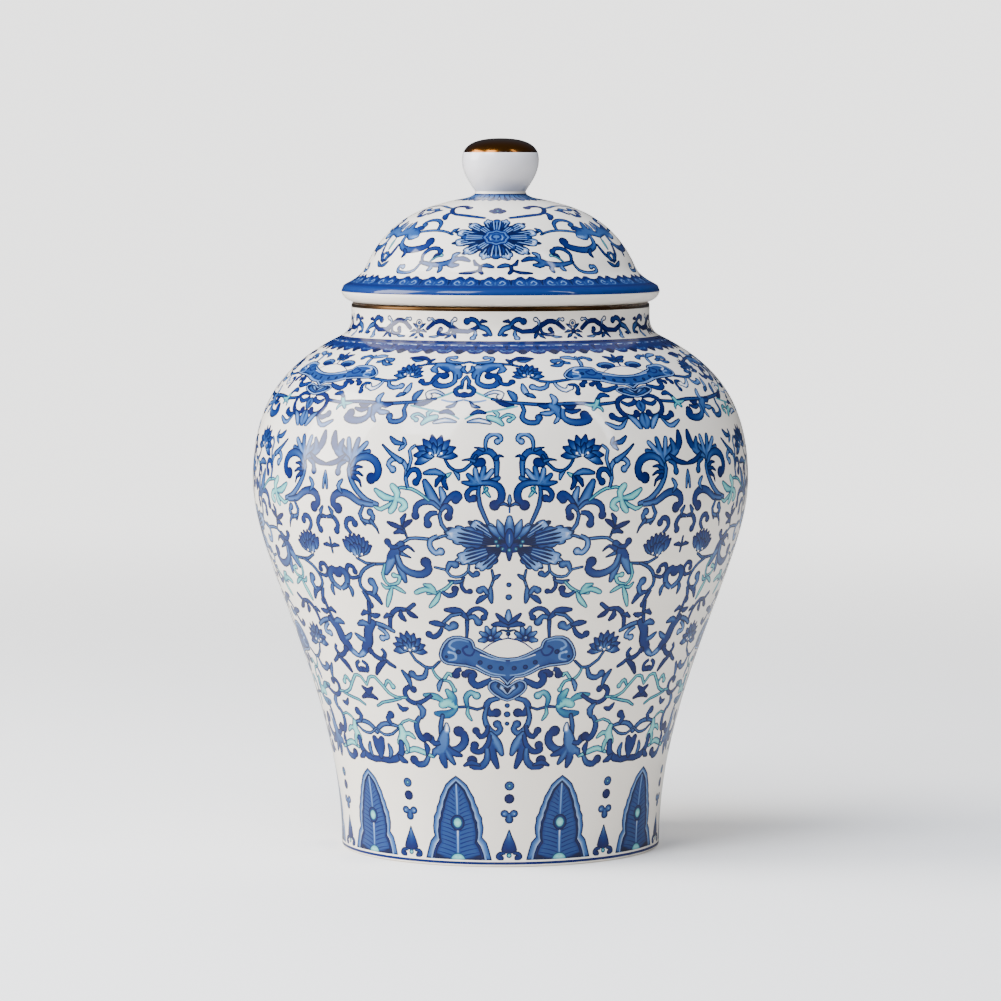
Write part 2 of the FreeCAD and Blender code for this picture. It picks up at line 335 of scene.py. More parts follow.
class Painter:
    # collects what is painted on half a period of a band, laid flat in mm, the last on top
    def __init__(self, outline, low, high, half, offset=0.0):
        self.outline = outline
        self.low, self.high, self.half, self.offset = low, high, half, offset
        self.flat = float(outline.spot((low + high) / 2 + offset)[0]) * math.pi / 180   # mm for each degree
        self.points = []
        self.edges = []
        self.shapes = []     # closed borders, each with the number of its group
        self.groups = []     # strokes that run into each other, or one field

    def widening(self, level):
        # true width over flat width at one level of the band
        return float(self.outline.spot(level + self.offset)[0]) * math.pi / 180 / self.flat

    def addPoints(self, spots):
        first = len(self.points)
        for x, y in spots:
            self.points.append((float(x), float(min(max(y, self.low + inset), self.high - inset))))
        return first

    def addShape(self, first, count, group):
        self.edges += [(first + i, first + (i + 1) % count) for i in range(count)]
        self.shapes.append((np.array(self.points[first:first + count]), group))

    def stroke(self, kind, tone, width, spots):
        isVine = kind.lstrip("+") == "vine"
        isCurl = kind.endswith("curl")
        shape, ball = strokeKinds[kind.lstrip("+")]
        start, end, turquoise = tones[tone]
        jitter = spread.uniform(-0.05, 0.05)
        scale = self.widening(sum(y for _, y in spots) / len(spots))
        back = np.array([1.0 / scale, 1.0])
        fine = {} if isVine else {"step": 2.2, "bend": 24.0}
        path = smoothPath([(x * self.flat * scale, y) for x, y in spots], **fine)
        run = np.concatenate([[0], np.cumsum(np.hypot(*np.diff(path, axis=0).T))])
        share = run / run[-1]
        if width > fineStroke:
            width *= broadening["vine" if isVine else "turquoise" if turquoise == 1.0 else "other"]
        half = width * shape(share)
        tangent = unitTangent(path)
        side = np.stack([-tangent[:, 1], tangent[:, 0]], 1)
        density = np.clip(start + (end - start) * share + jitter * (start > 0.1), 0.03, 1.0)
        if not kind.startswith("+"):
            self.groups.append({"runs": [], "turquoise": turquoise, "scale": scale,
                                "outlined": float(width > outlinedFrom)})
        group = len(self.groups) - 1
        runs = self.groups[group]["runs"]
        toGroup = np.array([self.groups[group]["scale"] / scale, 1.0])
        left = self.addPoints((path + side * half[:, None]) * back)
        spine = self.addPoints(path * back)
        right = self.addPoints((path - side * half[:, None]) * back)
        last = len(path) - 1
        for i in range(last):
            corners = [left + i, right + i, right + i + 1, left + i + 1]
            self.edges += [(left + i, left + i + 1), (spine + i, spine + i + 1), (right + i, right + i + 1)]
            self.shapes.append((np.array([self.points[c] for c in corners]), group))
            runs.append((path[i] * toGroup, path[i + 1] * toGroup, half[i], half[i + 1], density[i],
                         density[i + 1]))
        for i in range(last + 1):
            self.edges += [(left + i, spine + i), (spine + i, right + i)]
        if ball:
            ends = [(last, width * ball if isCurl else half[-1] * ball)]
            ends += [(0, half[0])] if width > roundedFrom and not isCurl else []
            for i, radius in ends:
                self.roundEnd(path[i], radius, density[i], scale, group, toGroup)

    def roundEnd(self, centre, radius, density, scale, group, toGroup):
        count = 12 if radius > 0.8 else 8
        angles = [math.tau * i / count for i in range(count)]
        ring = [((centre[0] + radius * math.cos(a)) / scale,
                 centre[1] + radius * math.sin(a)) for a in angles]
        first = self.addPoints(ring)
        self.addPoints([(centre[0] / scale, centre[1])])
        self.addShape(first, count, group)
        place = centre * toGroup
        self.groups[group]["runs"].append((place, place, radius, radius, density, density))

    def layOut(self, spots, sharp=False):
        # a closed border in true mm, how much wider it is than laid flat, and whether it runs clockwise
        scale = self.widening(sum(y for _, y in spots) / len(spots))
        true = np.array([(x * self.flat * scale, y) for x, y in spots])
        border = true if sharp else smoothPath(true, closed=True)
        after = np.roll(border, -1, axis=0)
        return scale, border, np.sum(border[:, 0] * after[:, 1] - after[:, 0] * border[:, 1]) < 0

    def field(self, spots, shade, turquoise=0.0, sharp=False, rim=0.5, outlined=1.0):
        # a closed shape; shade is one density, or (point, density, point, density) along which it runs
        scale, border, backwards = self.layOut(spots, sharp)
        if backwards:
            border = border[::-1]
        tangent = unitTangent(border, closed=True)
        inner = border + np.stack([-tangent[:, 1], tangent[:, 0]], 1) * rim
        back = np.array([1.0 / scale, 1.0])
        if not isinstance(shade, tuple):
            shade = ((0, self.low), shade, (0, self.high), shade)
        (x0, y0), startDensity, (x1, y1), endDensity = shade
        self.groups.append({"border": border, "turquoise": turquoise, "scale": scale, "outlined": outlined,
                            "from": np.array([x0 * self.flat * scale, y0]),
                            "to": np.array([x1 * self.flat * scale, y1]),
                            "density": (startDensity, endDensity)})
        self.addShape(self.addPoints(border * back), len(border), len(self.groups) - 1)
        firstInner = self.addPoints(inner * back)
        self.edges += [(firstInner + i, firstInner + (i + 1) % len(inner)) for i in range(len(inner))]

    def nested(self, spots, insets):
        # one closed shape inside another: each inset is (mm in from the edge, density, outlined)
        scale, border, backwards = self.layOut(spots)
        tangent = unitTangent(border, closed=True)
        side = np.stack([-tangent[:, 1], tangent[:, 0]], 1) * (-1 if backwards else 1)
        for inward, density, outlined in insets:
            shape = (border + side * inward) / np.array([self.flat * scale, 1.0])
            self.field([tuple(p) for p in shape], density, sharp=True, rim=0.35, outlined=outlined)

    def rows(self, rows, share=1.0, place=list):
        # strokes as the tables give them, their widths times a share and their points moved by place
        for kind, tone, width, *numbers in rows:
            self.stroke(kind, tone, width * share, place(zip(numbers[::2], numbers[1::2])))

    def dots(self, tone, rows):
        for x, y, radius in rows:
            nudge = 0.02 / self.flat
            self.stroke("dot", tone, radius, [(x - nudge, y), (x + nudge, y)])

    def finish(self, chartAt, chartScale):
        # everything is cut into triangles that share their edges, and the paint is read at each corner
        low, high, wide = self.low, self.high, self.half * self.flat
        levels = int(math.ceil((high - low) / seamStep))
        sides = [low + (high - low) * i / levels for i in range(1, levels)]
        rim = [(i * self.flat, low) for i in range(self.half + 1)] + [(wide, y) for y in sides]
        rim += [(i * self.flat, high) for i in range(self.half, -1, -1)] + [(0.0, y) for y in sides[::-1]]
        first = len(self.points)
        points = self.points + rim
        edges = self.edges + [(first + i, first + (i + 1) % len(rim)) for i in range(len(rim))]
        across, up = max(1, int(wide / gridCell)), max(1, int((high - low) / gridCell))
        points += [(wide * (i + 0.27 * (j % 2)) / across, low + (high - low) * j / up)
                   for i in range(1, across) for j in range(1, up)]
        found = delaunay_2d_cdt([Vector(p) for p in points], edges, [], 0, 1e-4, False)
        spots = np.array([(p.x, p.y) for p in found[0]])
        place = spots[np.array([list(t) for t in found[2]])]
        middle = place.mean(axis=1)
        inside = (middle[:, 0] > 0) & (middle[:, 0] < wide) & (middle[:, 1] > low) & (middle[:, 1] < high)
        place, middle = place[inside], middle[inside]
        reach = np.stack([place[:, 1] - place[:, 0], place[:, 2] - place[:, 0]], 1)
        area = reach[:, 0, 0] * reach[:, 1, 1] - reach[:, 0, 1] * reach[:, 1, 0]
        place[area < 0] = place[area < 0][:, ::-1]
        owner = np.full(len(place), -1)
        for border, group in self.shapes:
            near = np.flatnonzero((middle >= border.min(0)).all(1) & (middle <= border.max(0)).all(1))
            owner[near[insideShape(middle[near], border)]] = group
        paint = np.zeros(place.shape[:2] + (4,))
        paint[...] = bareGlaze
        for number, group in enumerate(self.groups):
            here = owner == number
            if here.any():
                self.read(group, place[here] * np.array([group["scale"], 1.0]), paint, here)
        chart = np.stack([chartAt[0] + place[..., 0] * chartScale,
                          chartAt[1] + (place[..., 1] - low) * chartScale], -1)
        print("  band", round(low, 1), "to", round(high, 1), "mm:", len(place), "triangles in half a period")
        return {"low": low + self.offset, "high": high + self.offset, "degrees": place[..., 0] / self.flat,
                "along": place[..., 1] + self.offset, "paint": paint, "chart": chart}

    def read(self, group, spots, paint, here):
        if "runs" in group:
            a, b, halfA, halfB, densityA, densityB = (np.array(v) for v in zip(*group["runs"]))
            share, away = nearestOnRuns(spots, a, b)
            depths = halfA + (halfB - halfA) * share - away
            best = depths.argmax(-1)[..., None]
            depth = np.take_along_axis(depths, best, -1)[..., 0]
            density = np.take_along_axis(densityA + (densityB - densityA) * share, best, -1)[..., 0]
        else:
            _, away = nearestOnRuns(spots, group["border"], np.roll(group["border"], -1, axis=0))
            depth = away.min(-1)
            line = group["to"] - group["from"]
            share = np.clip(((spots - group["from"]) * line).sum(-1) / max(1e-9, float(line @ line)), 0, 1)
            density = group["density"][0] + (group["density"][1] - group["density"][0]) * share
        paint[here, :, 0] = density
        paint[here, :, 1] = np.clip(depth, 0, deepestPaint) / deepestPaint
        paint[here, :, 2] = group["turquoise"]
        paint[here, :, 3] = group["outlined"]


def ring(x, y, wide, high, count=12):
    return [(x + wide * math.sin(a), y + high * math.cos(a)) for a in np.arange(count) * math.tau / count]


def mirror(spots, axis=0):
    return [(2 * axis - x, y) for x, y in spots[::-1]]


# every row: kind of stroke, tone, half width in mm, then degrees from the axis and mm up, in turn

# the ring of stiff leaves and pendants above the foot, half a period of 18 degrees
footBand = {"low": 2.4, "high": 35.6, "half": 18, "axis": 3, "periods": 10}


def paintFootBand(painter):
    painter.rows([("dot", "mid", 1.15, 1.5, 19.6, 1.7, 19.6), ("+dot", "mid", 1.15, -1.5, 19.6, -1.7, 19.6),
                  ("+dot", "mid", 1.2, 0, 17.4, 0.1, 17.4), ("+dot", "mid", 0.9, 0, 18.9, 0.1, 18.9)])
    painter.dots("pale", [(1.7, 19.5, 0.35)])
    painter.field([(0, 13.9), (1.0, 11.6), (2.2, 8.8), (2.9, 6.4), (2.0, 5.0), (0, 4.9), (-2.0, 5.0),
                   (-2.9, 6.4), (-2.2, 8.8), (-1.0, 11.6)], ((0, 13.5), 0.25, (0, 7.5), 1.0))
    painter.dots("ink", [(0, 25.1, 1.5)])
    painter.dots("mid", [(0, 29.9, 1.45)])
    painter.dots("turq", [(0, 29.9, 0.75), (0, 4.3, 0.95)])
    painter.rows([("curl", "deep", 0.7, 1.3, 5.2, 3.2, 4.9, 3.9, 3.7, 2.9, 3.3)])
    leaf = [(6.0, 2.9), (6.8, 6), (7.7, 9), (9.3, 10.9), (9.0, 12.2), (8.8, 14.4), (9.2, 16.6), (9.2, 18.0),
            (10.2, 19.8), (10.5, 21.6), (11.4, 23.4), (11.9, 25.6), (13.0, 27.6), (14.2, 30.2), (16.0, 32.0),
            (18, 33.6)]
    painter.field(leaf + mirror(leaf[:-1], 18) + [(30, 2.5), (6, 2.5)], 0.50, sharp=True, rim=0.6)
    paleLine = [(18 + (x - 18) * 0.86, y - 0.9 - 0.012 * y) for x, y in leaf]
    painter.field([(7.8, 2.6)] + paleLine[1:] + mirror(paleLine[1:-1], 18) + [(28.2, 2.6)], 0.16, sharp=True,
                  rim=0.3, outlined=0.0)
    inner = [(18 + (x - 18) * 0.80, y - 1.3 - 0.02 * y) for x, y in leaf[1:]]
    inner = [(8.4, 2.7), (8.9, 5)] + inner[1:]
    painter.field(inner + mirror(inner[:-1], 18), 0.97, sharp=True, rim=0.3)
    core = [(18 + (x - 18) * 0.92, y - 0.5) for x, y in inner[1:]]
    painter.field([(9.5, 2.6)] + core + mirror(core[:-1], 18) + [(26.5, 2.6)], 0.70, sharp=True, rim=0.3)
    for step in range(18):
        low = 3.6 + step * 1.55
        edge = float(np.interp(low + 1.6, [y for _, y in core], [x for x, _ in core])) + 0.7
        if edge < 16.6:
            painter.rows([("spike", "ink", 0.26, 17.2, low, (17.2 + edge) / 2, low + 1.0, edge, low + 1.7)])
    painter.rows([("vine", "pale", 0.32, 18, 4.5, 18, 14), ("vine", "pale", 0.30, 18, 18.5, 18, 30.2)])
    painter.field(ring(18, 16, 2.6, 3.0), 0.95)
    painter.field(ring(18, 16, 1.8, 2.1), 0.25, 1.0)
    painter.field([(15.2, 2.5), (15.5, 3.7), (16.7, 4.8), (18, 5.1), (19.3, 4.8), (20.5, 3.7), (20.8, 2.5)],
                  0.25, 1.0)


# the widest part: scrolls, lotuses and a chime on its axis, half a period of 45 degrees
bellyBand = {"low": 35.6, "high": 162.8, "half": 45, "axis": 2, "periods": 4}

bellyScrolls = [
    # curls beside the top of the axis
    ("curl", "rise", 1.1, 2.9, 147.2, 2.8, 150.5, 3.0, 153.5, 4.2, 155.9, 5.8, 156.2, 7.4, 155, 8.0, 153,
     7.0, 151.6, 6.3, 152.2),
    ("vine", "mid", 0.55, 7.4, 154.6, 8.6, 151.6, 10, 149.6, 12, 149.2, 13.6, 151, 14.4, 153),
    ("curl", "soft", 0.8, 5.2, 156.3, 5.4, 158.5, 5.0, 161, 3.6, 162.3, 2.2, 161.6, 1.9, 160.2, 2.7, 159.6),
    ("spike", "deep", 0.8, 3.0, 153.6, 2.2, 154.6, 1.4, 154.2),
    ("spike", "mid", 0.7, 7.8, 152.6, 9.0, 153.2, 10.5, 152.9),
    ("spike", "mid", 0.7, 5.8, 156.6, 7, 157.2, 7.8, 157.4),
    ("leaf", "turq", 1.0, 13.0, 148.4, 14.2, 147.2, 15.6, 147.4),
    ("leaf", "mid", 1.1, 14.4, 147.6, 16.6, 148.8, 19.0, 148.2),
    ("leaf", "deep", 0.9, 14.2, 147.2, 14.6, 145.2, 13.8, 142.8),
    ("leaf", "deep", 0.9, 15.0, 147.2, 16.0, 145.6, 16.4, 143.8),
    ("leaf", "soft", 0.8, 12.4, 149.1, 11.4, 147.6, 11.2, 146.2),
    # the acanthus left of the lotus
    ("vine", "mid", 0.7, 4.6, 130.0, 5.6, 133.5, 6.5, 137, 6.9, 140.5, 6.8, 143.5, 6.0, 145.8),
    ("leaf", "turq", 0.8, 5.6, 144.2, 5.2, 142, 4.3, 140.2),
    ("lobe", "mid", 0.9, 6.2, 144.6, 4.0, 145.6, 2.4, 146.8),
    ("+lobe", "soft", 0.95, 6.3, 144.8, 4.9, 147.2, 3.8, 149.4),
    ("+lobe", "mid", 0.95, 6.4, 144.8, 6.0, 147.8, 5.6, 150.4),
    ("+lobe", "soft", 0.95, 6.6, 144.8, 7.3, 147.2, 7.6, 149.8),
    ("+lobe", "mid", 0.9, 6.8, 144.6, 8.2, 146.2, 9.2, 147.8),
    ("+leaf", "mid", 0.9, 6.8, 144.4, 8.8, 144.8, 10.4, 145.2),
    ("curl", "deep", 0.9, 7.0, 143.2, 8.4, 143.0, 9.4, 141, 8.8, 139.0, 7.9, 139.6),
    ("curl", "rise", 1.2, 6.2, 145, 4.2, 145, 2.4, 143.8, 1.7, 141.2, 2.1, 138.6, 3.3, 137.2),
    ("spike", "turq", 0.8, 5.0, 143, 6.0, 141.2),
    # the stem and dark leaves above the main lotus's right side
    ("vine", "mid", 0.65, 12.2, 126.2, 14, 127.6, 15.2, 130.2, 15.6, 133.2, 15.2, 135.5),
    ("leaf", "mid", 1.6, 15.3, 135.6, 17.2, 140, 18.9, 145.2),
    ("+leaf", "soft", 1.2, 15.0, 136.0, 14.6, 139.5, 15.3, 143.0),
    ("curl", "deep", 1.0, 14.8, 136.6, 13.4, 139.6, 11.8, 141.2, 11.0, 140, 11.9, 139.1),
    ("curl", "rise", 1.0, 15.3, 135, 14.2, 136.8, 13.1, 135.5, 13.6, 133),
    ("curl", "rise", 1.0, 15.6, 135.8, 17, 137.8, 19.5, 138, 21, 136.2, 21.2, 133.2),
    ("curl", "deep", 1.0, 16, 134.3, 17.6, 134, 18.6, 132.2, 18.4, 130.2),
    # pale tendrils and the turquoise acanthus
    ("vine", "turq", 0.55, 18, 138.6, 19.5, 140.5, 22, 142.6, 24.5, 143, 26.5, 142),
    ("curl", "soft", 0.9, 22.8, 142.8, 23.4, 146, 23.2, 149.2, 24.2, 152, 26.5, 153, 27.8, 151, 26.6,
     149.2),
    ("vine", "soft", 0.6, 23, 149, 22.3, 153, 22.8, 156, 21.6, 157.8),
    ("spike", "mid", 1.0, 24.8, 152.3, 27.5, 155, 29.6, 157.8),
    ("curl", "deep", 0.9, 23.2, 146.6, 22.3, 149, 20.8, 149.2, 20.2, 146.8, 21, 145.0),
    ("leaf", "soft", 0.9, 24.6, 160.5, 24.1, 158.4, 25.3, 156.2),
    ("leaf", "mid", 0.9, 24.4, 158.4, 26.4, 158.8, 27.8, 160.6),
    ("vine", "turq", 0.7, 25.9, 138.2, 28, 136.2, 29.6, 135, 31, 136, 31.5, 137),
    ("lobe", "turq", 1.4, 25.6, 138.8, 24.2, 138.2, 23.6, 136.4, 24.6, 135.2),
    ("+lobe", "turq", 1.4, 25.8, 138.6, 26.2, 136.4, 27.2, 134.4),
    ("+lobe", "turq", 1.5, 25.8, 138.6, 25.4, 141.0, 26.6, 143.4),
    ("+leaf", "turq", 1.5, 26, 139, 28.5, 139.4, 30.8, 141.8),
    # the crested scroll
    ("vine", "mid", 0.9, 30.5, 136.8, 33, 138, 35.4, 140.8, 37.2, 144.5, 38.1, 148.5, 37.6, 152),
    ("lobe", "mid", 1.05, 37.4, 150.6, 35.4, 153.4, 33.0, 155.2),
    ("+lobe", "soft", 1.0, 37.5, 151, 35.6, 155.2, 33.8, 158.2),
    ("+lobe", "mid", 1.05, 37.6, 151, 36.8, 155.6, 36.2, 159.4),
    ("+lobe", "soft", 1.0, 37.8, 151.5, 38.4, 155.6, 39.0, 159.4),
    ("+lobe", "mid", 0.95, 38.0, 151.4, 39.4, 154.6, 41.0, 157.4),
    ("curl", "rise", 1.3, 37.4, 149, 36.2, 152.2, 33.6, 153.4, 31.2, 152, 30.2, 149, 30.8, 146.2, 32.0,
     145.8),
    ("spike", "deep", 0.9, 37, 148.5, 35.6, 149.8, 34.4, 149.6),
    ("spike", "deep", 0.9, 37, 147.4, 35.4, 147.6, 34.2, 146.6),
    ("spike", "ink", 0.9, 36.8, 146.2, 35.0, 144.6, 34.6, 142.8),
    ("lobe", "mid", 1.2, 38.5, 152, 40.6, 153.6, 42.2, 155.0),
    ("+leaf", "deep", 1.4, 42.0, 154.6, 43.2, 158.0, 43.4, 161.4),
    ("+leaf", "mid", 1.2, 40.6, 153.4, 41.2, 156.0, 40.6, 158.8),
    ("leaf", "deep", 0.9, 39.5, 153.6, 42, 151, 45, 150),
    ("curl", "mid", 0.9, 39.0, 151.4, 40.8, 150.2, 41.2, 147.5),
    ("vine", "soft", 0.6, 45, 147.5, 44.6, 144.5, 44.4, 141.6),
    ("curl", "rise", 1.25, 31.5, 136.4, 35.2, 137.2, 37.5, 139.4, 40, 140.4, 42.2, 139, 42.6, 136.2, 41.2,
     134.6),
    ("leaf", "soft", 0.9, 40, 140.3, 41, 142.6, 39.9, 144.8),
    ("vine", "mid", 0.7, 34.2, 135.8, 35.2, 133, 34, 129.4),
    ("curl", "mid", 0.9, 34.8, 131, 32.6, 130.2, 31.7, 132.4, 32.4, 133.8),
    ("spike", "mid", 0.8, 32.4, 130.6, 31, 128, 30.6, 126.2),
    # the bud lotus beside the far axis
    ("vine", "mid", 0.55, 37.8, 116.5, 35.5, 114.8, 32.5, 114.6, 29.5, 115),
    ("curl", "deep", 0.9, 38, 125.5, 39.4, 128, 38.9, 130.6, 37.4, 131, 36.8, 129.4),
    # the stem that leaves the lotus, and its leaves
    ("vine", "soft", 0.55, 12.6, 126.4, 15, 126, 17.6, 124.6, 20, 124.9, 23, 124.8, 25, 123, 26, 121),
    ("curl", "soft", 1.0, 16.2, 126, 18, 124.4, 18.2, 121.8, 17, 119.6, 15.8, 120.2),
    ("lobe", "deep", 1.7, 25.2, 122.6, 26.8, 119.8, 28.5, 116.8),
    ("+leaf", "mid", 1.5, 27.0, 119.2, 28.8, 115, 30.2, 111.4),
    ("+leaf", "mid", 1.4, 26.6, 119.0, 26.2, 113.6, 25.4, 108.6),
    ("curl", "deep", 0.9, 26, 121.5, 27.8, 121.4, 28.6, 123.2),
    ("curl", "rise", 1.3, 26.6, 118.5, 26, 114.5, 23.6, 111.8, 20.8, 111.4, 19.0, 113.5, 19.6, 116),
    ("spike", "deep", 0.9, 25.4, 120.6, 23.6, 121.8, 22.2, 120.0),
    ("spike", "mid", 0.8, 25.4, 119, 23.2, 117.6),
    ("vine", "mid", 0.5, 23.6, 125.2, 24.2, 128, 24.6, 130.4),
    ("leaf", "ink", 0.9, 24.3, 128.6, 23.6, 130.0, 22.2, 131.4),
    ("leaf", "ink", 0.9, 24.4, 128.4, 26.0, 129.2, 28.0, 130.4),
    ("leaf", "deep", 0.9, 24.6, 129.6, 24.4, 131.6, 23.6, 133.4),
    ("leaf", "deep", 0.9, 24.0, 126.6, 25.4, 127.4, 26.6, 126.6),
    # small scrolls under the lotus
    ("vine", "soft", 0.5, 9.2, 116.4, 9.6, 113, 11.5, 110.8, 13.8, 111, 15, 113.4, 17.5, 114.2),
    ("curl", "mid", 1.0, 14.6, 113, 13.8, 115.8, 12.6, 115.4),
    ("curl", "mid", 0.8, 9.6, 113, 8.4, 111.2, 7.6, 112.0),
    ("curl", "deep", 0.7, 10.6, 110.9, 11.4, 107.5, 10.4, 105, 9.4, 105.2),
    ("leaf", "mid", 0.8, 10.8, 109.4, 12.8, 108.6, 14.4, 109.2),
    ("vine", "turq", 0.6, 13.6, 108.6, 15, 106.5, 17.5, 104.4, 20, 104),
    ("lobe", "turq", 1.2, 18, 104.2, 20.5, 105.6, 23, 104.2),
    ("+leaf", "turq", 1.2, 17.8, 104.4, 19.2, 107, 20.6, 107.4),
    ("+leaf", "turq", 1.2, 16.8, 104.6, 18, 101.5, 19.8, 98.8),
    ("curl", "rise", 0.9, 16.4, 105, 14.8, 103.4, 13.2, 104.2, 13, 106.0),
    ("vine", "soft", 0.5, 4, 113.4, 3.6, 110, 4.4, 106.6, 5.2, 104.4),
    ("leaf", "mid", 0.8, 3.8, 109.4, 3.0, 110.8, 2.2, 111.6),
    ("leaf", "mid", 1.0, 4.3, 107, 4.5, 104, 4.2, 101.0),
    ("curl", "mid", 0.9, 5, 103.8, 6.2, 106.6, 7.0, 105.6),
    ("leaf", "deep", 1.0, 5.2, 103.6, 6.6, 102.6, 7.8, 100.8),
    ("vine", "turq", 0.6, 30.2, 114.6, 31.2, 111, 30.6, 107.6, 29.4, 106.4),
    ("curl", "turq", 0.9, 29.6, 107, 27.6, 107.6, 26.8, 110, 28.2, 110.6),
    ("leaf", "turq", 1.0, 29.4, 106.4, 27.8, 105.6, 26.0, 104.0),
    ("+leaf", "turq", 1.2, 29.2, 106, 30.6, 101.8, 31.6, 98.4),
    ("+leaf", "turq", 0.9, 29.4, 106, 31.0, 105.6, 32.0, 107.2),
    ("vine", "mid", 0.65, 33, 114.6, 36, 112.6, 38, 109.4, 38.4, 105.6, 36.4, 103, 34, 102.6),
    ("leaf", "deep", 1.1, 37, 103.4, 34.6, 102.4, 33.2, 99.4),
    ("curl", "mid", 1.1, 35, 102.8, 34.0, 105.4, 34.8, 107.6),
    ("curl", "deep", 0.8, 38, 109.6, 40.5, 108.6, 41.8, 110.8, 41, 113.4, 39.4, 112.8, 39.2, 111.2),
    ("curl", "deep", 0.9, 38.2, 104, 37, 101, 36.6, 98.4),
    ("curl", "rise", 1.25, 45, 104, 42.8, 106, 42.2, 109.4, 43.6, 111.6, 44.8, 110.4),
    ("leaf", "mid", 0.9, 42.4, 106, 41.6, 103.8, 41.8, 101.6), ("vine", "mid", 0.5, 45, 118, 45, 123.6),
    ("leaf", "deep", 0.8, 45, 120.2, 43.8, 121.0, 42.6, 120.8),
    ("curl", "deep", 0.9, 45, 131.2, 43, 131.4, 41.8, 128.6, 42.4, 126.4),
    ("leaf", "mid", 0.9, 43.2, 131.4, 43.2, 133.2, 44.0, 134.8),
    # above the chime
    ("vine", "mid", 0.35, 0, 86.8, 0, 91.5),
    ("curl", "deep", 0.8, 10.9, 87, 10.6, 91, 10.4, 95, 9.4, 97.6, 7.4, 98.6, 5.6, 96.8, 6.2, 95),
    ("curl", "mid", 1.0, 10.4, 94.6, 8.8, 95.4, 7.6, 93.2),
    ("leaf", "deep", 1.2, 10.4, 94.4, 12.4, 97.4, 15.8, 97.8),
    ("vine", "mid", 0.65, 12, 96.4, 14.6, 95.6, 16.6, 93, 17.4, 91),
    ("curl", "mid", 1.1, 16.8, 92.4, 15.4, 90.6, 14.0, 91.8),
    ("leaf", "deep", 1.1, 16.6, 91.8, 18.4, 92.4, 20.2, 92.6),
    ("curl", "deep", 0.9, 17.2, 90.8, 18.2, 88.4, 20, 87, 21.0, 88.0),
    # round the second lotus
    ("vine", "mid", 0.55, 27.4, 81, 26, 77.6, 23.6, 75.2, 21, 75, 19, 77.4),
    ("curl", "turq", 0.8, 21.4, 74.8, 20.6, 72, 18.6, 70, 16.8, 73, 15.8, 72.2),
    ("curl", "turq", 0.8, 18.8, 70.2, 16.6, 69.6, 15.4, 66.4),
    ("leaf", "soft", 0.9, 18.8, 70.4, 20, 67.8, 20.2, 66.0),
    ("curl", "mid", 1.0, 23, 74.6, 24, 71.4, 26.4, 70.6, 27.8, 72),
    ("vine", "deep", 0.8, 24, 99.6, 26, 97.4, 29, 97.4, 31.4, 94, 32, 89),
    ("leaf", "ink", 1.0, 26.4, 97.2, 25.2, 95.6, 23.8, 94.6),
    ("leaf", "ink", 1.1, 28, 96.8, 28.2, 95.0, 27.2, 93.2),
    ("leaf", "deep", 0.9, 30.8, 94.8, 32.0, 95.0, 33.2, 93.8),
    ("vine", "mid", 0.8, 31.2, 88.6, 34, 90.6, 37.5, 91.2, 39, 89),
    ("lobe", "deep", 1.8, 37.2, 91.5, 39.4, 88, 40, 84.4, 42.2, 80.4),
    ("+leaf", "mid", 1.2, 38.6, 90.2, 40.4, 91.2, 42.2, 90.4),
    ("+leaf", "soft", 1.2, 41.4, 81.6, 43.0, 79.2, 45, 77.6),
    ("+leaf", "mid", 1.0, 40.6, 84.0, 42.6, 84.8, 44.2, 86.4),
    ("vine", "deep", 0.75, 38.4, 91.6, 37.6, 94.6, 37.2, 99.4),
    ("leaf", "deep", 1.0, 37.7, 94.8, 36.2, 94.2, 34.6, 94.8),
    ("leaf", "deep", 1.0, 37.6, 95.2, 39.0, 95.6, 40.2, 94.4),
    ("curl", "soft", 0.9, 36, 89.8, 34, 88.2, 33.4, 86.2, 35.2, 85.6),
    ("curl", "deep", 0.9, 36.4, 81.4, 35.4, 79.6, 36.8, 77.2, 39, 78.2, 40.2, 80.0),
    ("vine", "deep", 0.7, 36.2, 77.6, 34.6, 75.6, 33, 74.4),
    ("leaf", "ink", 1.1, 35.8, 76.4, 38.2, 74.4, 40, 71.2),
    ("curl", "deep", 0.8, 44.6, 75.8, 43.0, 74.4, 43.4, 72.0, 44.6, 72.4),
    # leaf and stems either side of the pendant
    ("vine", "mid", 0.5, 6.6, 60, 9, 59, 12, 60, 15.4, 59.6),
    ("curl", "turqFall", 1.0, 11.8, 60, 12.2, 63.4, 10.6, 65.6, 9.0, 64.4),
    ("leaf", "turq", 0.9, 11.6, 60, 12, 57.4, 10.8, 54.8),
    ("lobe", "turq", 1.9, 15.6, 60.0, 17.8, 61.4, 19.6, 60.4),
    ("+leaf", "fall", 1.4, 15.4, 60.6, 16.2, 63.4, 17.6, 66.0),
    ("+leaf", "deep", 1.4, 15.4, 58.8, 18.0, 56.9, 21.8, 57.0),
    ("+leaf", "mid", 1.2, 18.8, 61.4, 21, 63.4, 24.8, 64.0),
    ("curl", "deep", 0.9, 22.4, 64.2, 25, 62, 28, 60.6, 30.6, 62, 31.2, 65.0, 29.6, 66.8, 28.2, 66.0),
    ("leaf", "mid", 1.0, 28.8, 66.8, 29.2, 69.8, 30.8, 73.0),
    ("vine", "turq", 0.6, 31, 62.6, 34, 62.4, 37, 64, 39, 67, 41.0, 69.8, 43.4, 69.4, 45, 66.4),
    ("curl", "turq", 0.9, 38, 66.4, 36.4, 68.8, 35.0, 66.6),
    ("vine", "turq", 0.55, 33, 62, 37, 60.8, 40, 60, 42.4, 58.4),
    ("leaf", "ink", 1.0, 45, 61.8, 44.4, 64.2, 43.0, 65.4),
    ("leaf", "ink", 1.0, 45, 61.6, 43.6, 62.2, 42.0, 61.2),
